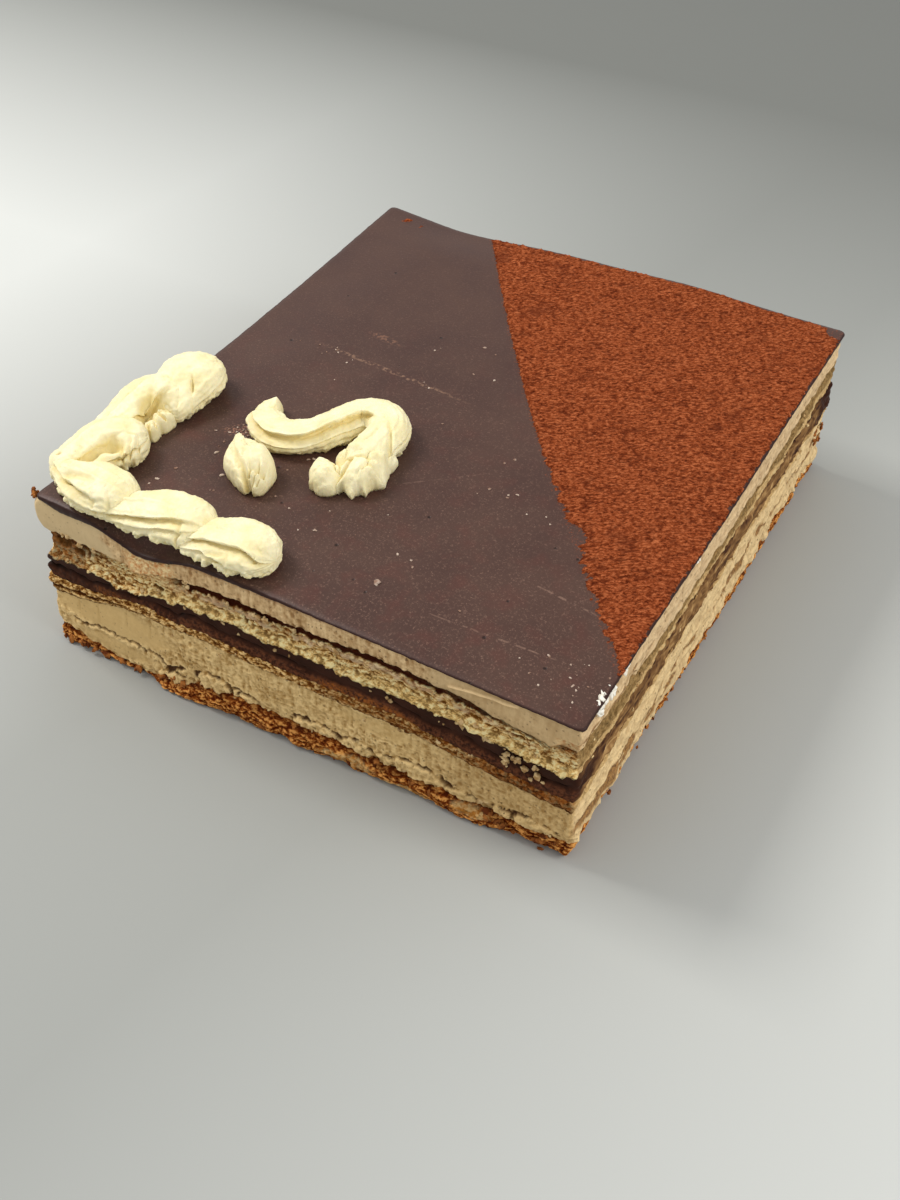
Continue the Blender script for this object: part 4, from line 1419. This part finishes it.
def lump(outline, middle, height, creases, knobs, seed, steps, levels, ragged, even=14, peak=0.85):
    """A folded lump of cream on an outline seen from above, domed up to its middle and creased.

    The rim is as ragged as given; further up, the outline is evened out over 1/even of its length either
    way. A peak under 1 makes a full dome, and one over 1 a point.
    """
    edge = smooth_route(tuple(outline) + (outline[0],), steps + 1)[:-1]
    if np.cross(np.roll(edge, -1, axis=0) - edge, edge - np.array(middle)).mean() > 0:
        edge = edge[::-1]
    run = np.concatenate([[0.0], np.cumsum(np.linalg.norm(np.diff(edge, axis=0), axis=1))])
    arm = edge - np.array(middle)
    arm = arm * (1.0 + ragged * jags(run, 0.0, seed) / np.linalg.norm(arm, axis=1))[:, None]
    blur = steps // even
    even_arm = sum(np.roll(arm, shift, axis=0) for shift in range(-blur, blur + 1)) / (2 * blur + 1)
    reach = np.linalg.norm(arm, axis=1)
    slight = np.clip(1.5 - 0.5 * reach / reach.mean(), 0.45, 1.1)
    rings, deeps, torn = [], [], []
    for level in range(levels + 3):
        t = (level - 2) / levels
        if t <= 0.0:
            inward = (0.93, 0.99, 1.0)[level]
            rise = (0.0, 0.12, 0.24)[level] * height * slight
        else:
            inward = math.cos(0.5 * math.pi * min(t, 0.985))
            low_wall = slight + (1.0 - slight) * t
            rise = height * low_wall * (0.24 + 0.76 * math.sin(0.5 * math.pi * t) ** peak)
        gathered = ease(t / 0.45)
        spread = arm * (1.0 - gathered) + even_arm * gathered
        x = middle[0] + spread[:, 0] * inward
        y = middle[1] + spread[:, 1] * inward
        bulge, between = folded(x, y, knobs)
        pressed = press(x, y, creases) * ease(rise / (0.5 * height) + 0.2)
        pressed = pressed + (0.15 * height * between - 0.08 * height * bulge) * ease(rise / (0.6 * height))
        bump = 0.6 * rough(x, y, rise, 4.4, seed + 3, 2) + 0.28 * rough(x, y, rise, 1.6, seed + 15, 2)
        bump = bump * ease(rise / 2.0) - 0.5 * pits(x, y, rise, 1.5, 0.3, seed + 6)
        low = ease(1.2 - rise / (0.35 * height))
        x = x + 0.25 * low * rough(x, y, rise, 1.4, seed + 9, 2)
        y = y + 0.25 * low * rough(x, y, rise, 1.4, seed + 12, 2)
        floor = table_top(x, y) + 0.06
        rings.append(np.stack([x, y, np.maximum(floor, floor + rise - pressed + bump)], axis=1))
        deeps.append(np.clip(0.4 * pressed, 0.0, 1.0))
        torn.append(low)
    rings = np.stack(rings)
    low_middle = np.array([middle[0], middle[1], rings[0, :, 2].mean()])
    points, faces = closed_rings(rings, low_middle, rings[-1].mean(axis=0))
    masks = {"deep": deeps, "torn": torn}
    masks = {key: np.concatenate([np.ravel(values), [0.0, 0.0]]) for key, values in masks.items()}
    return points, faces, masks


def smooth_route(points, count):
    """A smooth run of even steps through points seen from above."""
    points = np.array(points, dtype=float)
    padded = np.concatenate([[2 * points[0] - points[1]], points, [2 * points[-1] - points[-2]]])
    fine = []
    for a, b, c, d in zip(padded, padded[1:], padded[2:], padded[3:]):
        for t in np.linspace(0.0, 1.0, 24, endpoint=False):
            fine.append(0.5 * (2 * b + (c - a) * t + (2 * a - 5 * b + 4 * c - d) * t * t
                               + (3 * b - a - 3 * c + d) * t ** 3))
    fine = np.array(fine + [points[-1]])
    run = np.concatenate([[0.0], np.cumsum(np.linalg.norm(np.diff(fine, axis=0), axis=1))])
    even = np.linspace(0.0, run[-1], count)
    return np.stack([np.interp(even, run, fine[:, 0]), np.interp(even, run, fine[:, 1])], axis=1)


def piped_piece(name, strands):
    """Join strands into one piece of cream, and dress it."""
    points, faces, masks = [], [], {"deep": [], "torn": []}
    count = 0
    for strand_points, strand_faces, strand_masks in strands:
        points.append(strand_points)
        faces += [[count + i for i in face] for face in strand_faces]
        for key in masks:
            masks[key].append(strand_masks[key])
        count += len(strand_points)
    masks = {key: np.concatenate(values) for key, values in masks.items()}
    piece = food_mesh(name, np.concatenate(points), faces, masks)
    piece.data.materials.append(ivory.material)
    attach(piece, "root")
    return piece


ivory = Finish("piped_cream", 0.5, 0.25)
grain = ivory.group(cream_group, Place=ivory.where(), Upright=ivory.stretched(1.0, 1.0, 0.4))
slow_change = ivory.fit(grain.outputs["Shade"], 0.35, 0.65)
cream_tone = ivory.blend(slow_change, tint(236, 222, 170), tint(246, 235, 193))
cream_tone = ivory.dress(cream_tone, "deep", tint(222, 198, 122), 0.7, 0.1)
torn_tips = ivory.maths("MULTIPLY", ivory.mask("torn"), ivory.fit(ivory.clouds(1.0, 3.0), 0.45, 0.6))
cream_tone = ivory.blend(torn_tips, cream_tone, tint(226, 210, 152))
ivory.feed(ivory.surface.inputs["Base Color"], cream_tone)
ivory.surface.inputs["Subsurface Weight"].default_value = 0.12
ivory.surface.inputs["Subsurface Radius"].default_value = (1.0, 0.7, 0.35)
ivory.surface.inputs["Subsurface Scale"].default_value = 0.002
ivory.uneven(grain.outputs["Height"], 0.28)

# The two curled folds at the near end of the second shell: outline, middle, height, creases, and the
# knobs that the cream is gathered in.
SHELL_FOLDS = (
    ((
        (-90.0, -61.8), (-87.2, -59.0), (-84.6, -57.2), (-83.0, -58.6), (-82.9, -61.5), (-83.6, -64.2),
        (-85.6, -65.6), (-88.4, -64.4),
    ), (-86.4, -61.8), 7.2, (
        ((-88.6, -61.0), (-86.0, -62.4), (-84.0, -62.2), 0.8, 2.2, 0.5, 1.1),
        ((-88.6, -63.2), (-86.4, -60.4), (-84.6, -58.0), 1.8, 0.8, 0.5, 1.0),
    ), (
        (-87.6, -60.4, 2.6), (-84.2, -59.6, 2.4), (-85.4, -63.6, 2.8),
    )),
    ((
        (-88.4, -67.2), (-87.2, -65.2), (-84.4, -64.6), (-83.4, -66.4), (-83.8, -69.4), (-86.2, -70.4),
        (-88.0, -69.6),
    ), (-85.8, -67.4), 6.2, (
        ((-86.9, -67.6), (-85.4, -69.0), (-85.0, -70.4), 1.0, 2.6, 0.8, 1.0),
        ((-87.6, -66.6), (-85.6, -66.4), (-83.8, -67.0), 0.6, 1.8, 0.5, 1.0),
    ), (
        (-86.8, -66.2, 2.6), (-84.4, -67.8, 2.4),
    )),
)
for number, (tail, head, bow, tail_half, head_half, shell_height, torn_points) in enumerate(SHELLS, start=1):
    u = np.linspace(0.0, 1.0, SHELL_STATIONS)
    s = 0.45 * u + 0.55 * np.sin(0.5 * math.pi * u)
    tail_point, axis = np.array(tail), np.array(head) - np.array(tail)
    length = np.linalg.norm(axis)
    side = np.array([-axis[1], axis[0]]) / length
    route = tail_point + axis * s[:, None] + side * (bow * np.sin(math.pi * s))[:, None]
    growth = ease(s / 0.62)
    half = tail_half + (head_half - tail_half) * growth
    round_end = head_half / length
    nose = np.clip(s - (1.0 - round_end), 0.0, 1.0) / round_end
    closing = np.sqrt(np.clip(1.0 - nose ** 2, 0.003, 1.0))
    start = np.clip(0.10 - s, 0.0, 1.0) / 0.10
    closing = np.minimum(closing, np.sqrt(np.clip(1.0 - start ** 2, 0.04, 1.0)))
    shell_rise = shell_height * (0.6 + 0.4 * growth)
    furrows, dents, creases = (marks[number - 1] for marks in (FURROWS, DENTS, CREASES))
    strands = [pipe(route, half, half, shell_rise, closing, furrows, taper=(0.3, 0.42), ruffle=torn_points,
                    dents=dents, creases=creases, seed=160 + 20 * number)]
    if number == 2:
        for index, fold in enumerate(SHELL_FOLDS):
            strands.append(lump(*fold, seed=301 + 20 * index, steps=100, levels=16, ragged=0.3, even=30,
                                peak=0.45))
    shell = piped_piece(f"piped_shell_{number}_cream", strands)
    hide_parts(f"piped_shell_{number}")


# The hook: one long strand of the same cream that turns back on itself, with one deep furrow along
# its near side, and ends in folded lumps with small torn points.
HOOK_TAIL = (
    (-58.6, -38.8), (-56.0, -42.6), (-51.8, -47.0), (-45.8, -49.6), (-39.6, -48.6), (-34.8, -44.2),
    (-30.9, -37.4),
)
HOOK_BEND = (-20.6, -33.8, 7.6)
HOOK_END = ((-13.2, -40.0), (-13.4, -45.5), (-14.2, -50.5))
HOOK_TIP = (
    (-55.6, -33.0), (-54.2, -34.6), (-53.2, -37.4), (-53.4, -41.0), (-56.6, -43.6), (-60.6, -43.6),
    (-62.4, -41.4), (-62.0, -38.8), (-60.2, -36.8), (-58.2, -34.8), (-56.8, -33.4),
)
HOOK_TIP_KNOBS = ((-57.0, -37.4, 9.0), (-69.0, -38.4, 1.0))
# The folded lumps at its end, given as the shell's folds are.
HOOK_LUMPS = (
    ((
        (-18.4, -42.0), (-18.7, -45.0), (-21.6, -47.6), (-22.1, -48.8), (-20.6, -51.4), (-18.4, -54.0),
        (-15.0, -57.0), (-14.2, -60.4), (-13.2, -62.4), (-12.4, -60.4), (-9.8, -61.2), (-7.5, -62.2),
        (-7.2, -60.2), (-5.8, -59.0), (-3.8, -59.0), (-4.1, -57.2), (-3.5, -54.8), (-2.0, -53.6),
        (-0.8, -52.0), (-1.6, -49.0), (-3.2, -45.4), (-2.6, -42.6), (-3.6, -39.4), (-8.0, -37.0),
        (-14.0, -38.0),
    ), (-10.6, -49.6), 9.4, (
        ((-14.1, -49.3), (-12.6, -53.6), (-13.0, -57.4), (-14.2, -60.8), 0.6, 2.6, 0.9, 1.4),
        ((-6.0, -41.0), (-3.2, -46.0), (-1.4, -50.0), 1.4, 0.5, 0.8, 1.2),
    ), (
        (-19.2, -49.0, 3.4), (-13.6, -46.0, 6.4), (-10.0, -55.0, 5.0), (-4.8, -55.6, 3.6),
        (-4.6, -47.4, 4.6),
    )),
    ((
        (-22.8, -52.8), (-26.2, -53.8), (-27.2, -55.4), (-25.8, -57.6), (-24.8, -59.2), (-24.2, -61.4),
        (-22.9, -63.8), (-20.2, -65.4), (-17.2, -65.6), (-14.6, -64.2), (-13.0, -61.6), (-13.0, -58.0),
        (-15.8, -54.0), (-20.2, -53.2),
    ), (-19.4, -59.2), 8.2, (
        ((-25.6, -57.6), (-22.4, -57.0), (-19.4, -55.2), 0.9, 0.3, 0.7, 1.2),
    ), (
        (-23.8, -54.8, 3.2), (-20.6, -60.4, 6.0), (-16.6, -55.6, 3.0),
    )),
)


def arc(centre_x, centre_y, radius, start, end, steps):
    """Points around a centre, from one angle to another in degrees."""
    return [(centre_x + radius * math.cos(math.radians(a)), centre_y + radius * math.sin(math.radians(a)))
            for a in np.linspace(start, end, steps)]


hook_route = smooth_route(list(HOOK_TAIL) + arc(*HOOK_BEND, 142, 0, 8) + list(HOOK_END), 190)
s = np.linspace(0.0, 1.0, len(hook_route))
outer = 5.4 + 2.0 * ease(s / 0.12) - 1.2 * ease((s - 0.22) / 0.2)
outer = outer + 2.5 * ease((s - 0.45) / 0.25) - 0.8 * ease((s - 0.85) / 0.15)
inner = 6.6 - 0.6 * ease((s - 0.75) / 0.2)
hook_closing = (0.55 + 0.45 * np.sqrt(ease(s / 0.06))) * (1.0 - 0.5 * ease((s - 0.95) / 0.05))
hook_height = 10.4 * (0.48 + 0.30 * ease(s / 0.12) + 0.22 * ease(s / 0.4))
hook_furrows = (
    (((0, 36), (1, 54)), 0.42, 10, 36, -0.10, 0.73), (((0, 108), (1, 118)), 0.10, 12, 36, 0.16, 0.70),
    (((0, 0), (1, 6)), 0.10, 7, 10, 0.05, 1.0), (((0, 172), (1, 168)), 0.10, 8, 12, 0.05, 1.0),
)
hook_creases = (
    ((-17.0, -28.6), (-13.6, -29.6), (-10.6, -32.6), (-7.4, -37.4), (-5.0, -42.0), 0.2, 1.6, 0.9, 1.5),
    ((-14.8, -33.0), (-13.2, -37.0), (-13.6, -42.0), 0.3, 0.9, 1.2, 1.4),
)
hook_strands = [pipe(hook_route, outer, inner, hook_height, hook_closing, hook_furrows, taper=(0.26, 0.12),
                     ruffle=0.8, dents=(), creases=hook_creases, seed=320)]
hook_strands.append(lump(HOOK_TIP, (-56.5, -35.2), 6.2, (), HOOK_TIP_KNOBS, seed=340, steps=130, levels=20,
                         ragged=0.15, even=40, peak=1.7))
for index, fold in enumerate(HOOK_LUMPS):
    hook_strands.append(lump(*fold, seed=360 + 20 * index, steps=240, levels=34, ragged=0.25))
hook = piped_piece("piped_hook_cream", hook_strands)
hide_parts("piped_hook")


# The drop: a short twist of cream with a pointed tail. A channel winds down its near side from the
# tail to a cleft at its foot, and it is pinched into small folds beside the cleft.
DROP_OUTLINE = (
    (-59.2, -53.6), (-57.8, -56.2), (-55.6, -58.6), (-53.2, -60.0), (-50.4, -60.4), (-47.6, -60.0),
    (-44.6, -59.8), (-41.4, -60.4), (-38.4, -61.8), (-36.2, -63.6), (-34.6, -65.6), (-33.8, -67.6),
    (-33.4, -70.6), (-33.6, -73.4), (-34.4, -75.8), (-36.0, -76.8), (-37.4, -75.2), (-38.5, -75.2),
    (-39.2, -77.4), (-41.6, -77.0), (-44.2, -75.9), (-47.2, -74.7), (-50.0, -73.0), (-52.5, -70.8),
    (-54.0, -68.2), (-55.0, -65.4), (-56.0, -62.8), (-57.2, -60.4), (-58.4, -58.2), (-59.1, -56.0),
)
DROP_CREASES = (
    ((-56.0, -58.0), (-53.0, -63.4), (-49.6, -67.6), (-45.4, -70.8), (-41.0, -73.4), (-38.0, -76.6),
     0.5, 2.7, 0.7, 2.8),
    ((-52.0, -59.4), (-48.4, -62.6), (-45.4, -66.4), (-43.4, -70.4), 0.2, 0.6, 1.8, 0.9),
    ((-37.8, -68.4), (-36.4, -72.4), (-36.2, -76.0), 0.3, 2.2, 0.5, 1.0),
    ((-35.6, -67.6), (-34.8, -71.4), (-35.0, -75.4), 0.3, 1.8, 0.5, 0.9),
    ((-40.4, -70.6), (-38.8, -73.2), (-37.8, -75.6), 0.2, 1.6, 0.5, 0.9),
)
DROP_KNOBS = ((-44.0, -65.6, 11.0), (-35.6, -74.6, 3.0))
drop = piped_piece("piped_drop_cream", [
    lump(DROP_OUTLINE, (-43.6, -66.6), 11.0, DROP_CREASES, DROP_KNOBS, seed=420, steps=260, levels=40,
         ragged=0.2, even=45)])
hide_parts("piped_drop")


# The table and the light: a plain pale table, a soft light high on the left, a wider and weaker one
# from the right, and the camera where the cake is looked down on past its front right corner.
def pale_table():
    """A wide flat table top, a little uneven in tone."""
    points = [(-1600.0, -1600.0, 0.0), (1600.0, -1600.0, 0.0), (1600.0, 2600.0, 0.0), (-1600.0, 2600.0, 0.0)]
    table = food_mesh("table", np.array(points) - np.array([0.0, 0.0, 0.3]), [(0, 1, 2, 3)], {})
    paper = Finish("table_paper", 0.8, 0.2)
    place = paper.node("ShaderNodeSeparateXYZ", {"Vector": paper.where()})
    across = paper.maths("MULTIPLY", place.outputs["X"], 0.85)
    across = paper.maths("ADD", across, paper.maths("MULTIPLY", place.outputs["Y"], -0.15))
    far_out = paper.fit(paper.maths("ABSOLUTE", across, 0.0), 0.04, 0.26)
    tone = paper.blend(far_out, tint(158, 159, 154), tint(203, 204, 199))
    tone = paper.blend(paper.fit(place.outputs["Y"], 0.1, 0.42), tone, tint(118, 119, 114))
    paper.feed(paper.surface.inputs["Base Color"], tone)
    table.data.materials.append(paper.material)
    table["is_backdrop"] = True


pale_table()


def soft_light(name, place, aim, size, power, colour):
    """A square soft light that looks at a point."""
    lamp = bpy.data.lights.new(name, "AREA")
    lamp.shape = "SQUARE"
    lamp.size = size
    lamp.energy = power
    lamp.color = colour
    item = bpy.data.objects.new(name, lamp)
    bpy.context.scene.collection.objects.link(item)
    towards = np.array(aim) - np.array(place)
    item.location = place
    item.rotation_euler = Vector(towards).to_track_quat("-Z", "Y").to_euler()


soft_light("light_left", (-1.0, -0.02, 1.15), (0.0, 0.0, 0.03), 0.5, 15.0, (1.0, 0.985, 0.96))
soft_light("light_right", (1.15, 0.1, 0.85), (0.0, 0.0, 0.03), 0.8, 9.0, (1.0, 0.99, 0.97))
world = bpy.data.worlds.new("pale_room")
bpy.context.scene.world = world
world.use_nodes = True
world.node_tree.nodes["Background"].inputs["Color"].default_value = (0.95, 0.97, 1.0, 1.0)
world.node_tree.nodes["Background"].inputs["Strength"].default_value = 0.68

# The camera's place, how far it is turned from the front and raised, and its roll.
CAMERA_PLACE = (0.18493, -0.31586, 0.33714)
CAMERA_TURN = math.radians(31.521)
CAMERA_RISE = math.radians(45.263)
CAMERA_ROLL = math.radians(-1.366)
back = np.array([math.sin(CAMERA_TURN) * math.cos(CAMERA_RISE),
                 -math.cos(CAMERA_TURN) * math.cos(CAMERA_RISE), math.sin(CAMERA_RISE)])
level_right = np.cross(-back, (0.0, 0.0, 1.0))
level_right /= np.linalg.norm(level_right)
level_up = np.cross(level_right, -back)
right = math.cos(CAMERA_ROLL) * level_right + math.sin(CAMERA_ROLL) * level_up
up = -math.sin(CAMERA_ROLL) * level_right + math.cos(CAMERA_ROLL) * level_up
camera_data = bpy.data.cameras.new("camera")
camera_data.sensor_width = 36.0
camera_data.lens = 38.47
camera_data.clip_start = 0.01
camera = bpy.data.objects.new("camera", camera_data)
bpy.context.scene.collection.objects.link(camera)
camera.matrix_world = Matrix((
    (right[0], up[0], back[0], CAMERA_PLACE[0]),
    (right[1], up[1], back[1], CAMERA_PLACE[1]),
    (right[2], up[2], back[2], CAMERA_PLACE[2]),
    (0.0, 0.0, 0.0, 1.0),
))
bpy.context.scene.camera = camera
bpy.context.scene.view_settings.view_transform = "Standard"

boxes = [[[float(value) for value in corner] for corner in box] for box in (cad_box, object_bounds())]
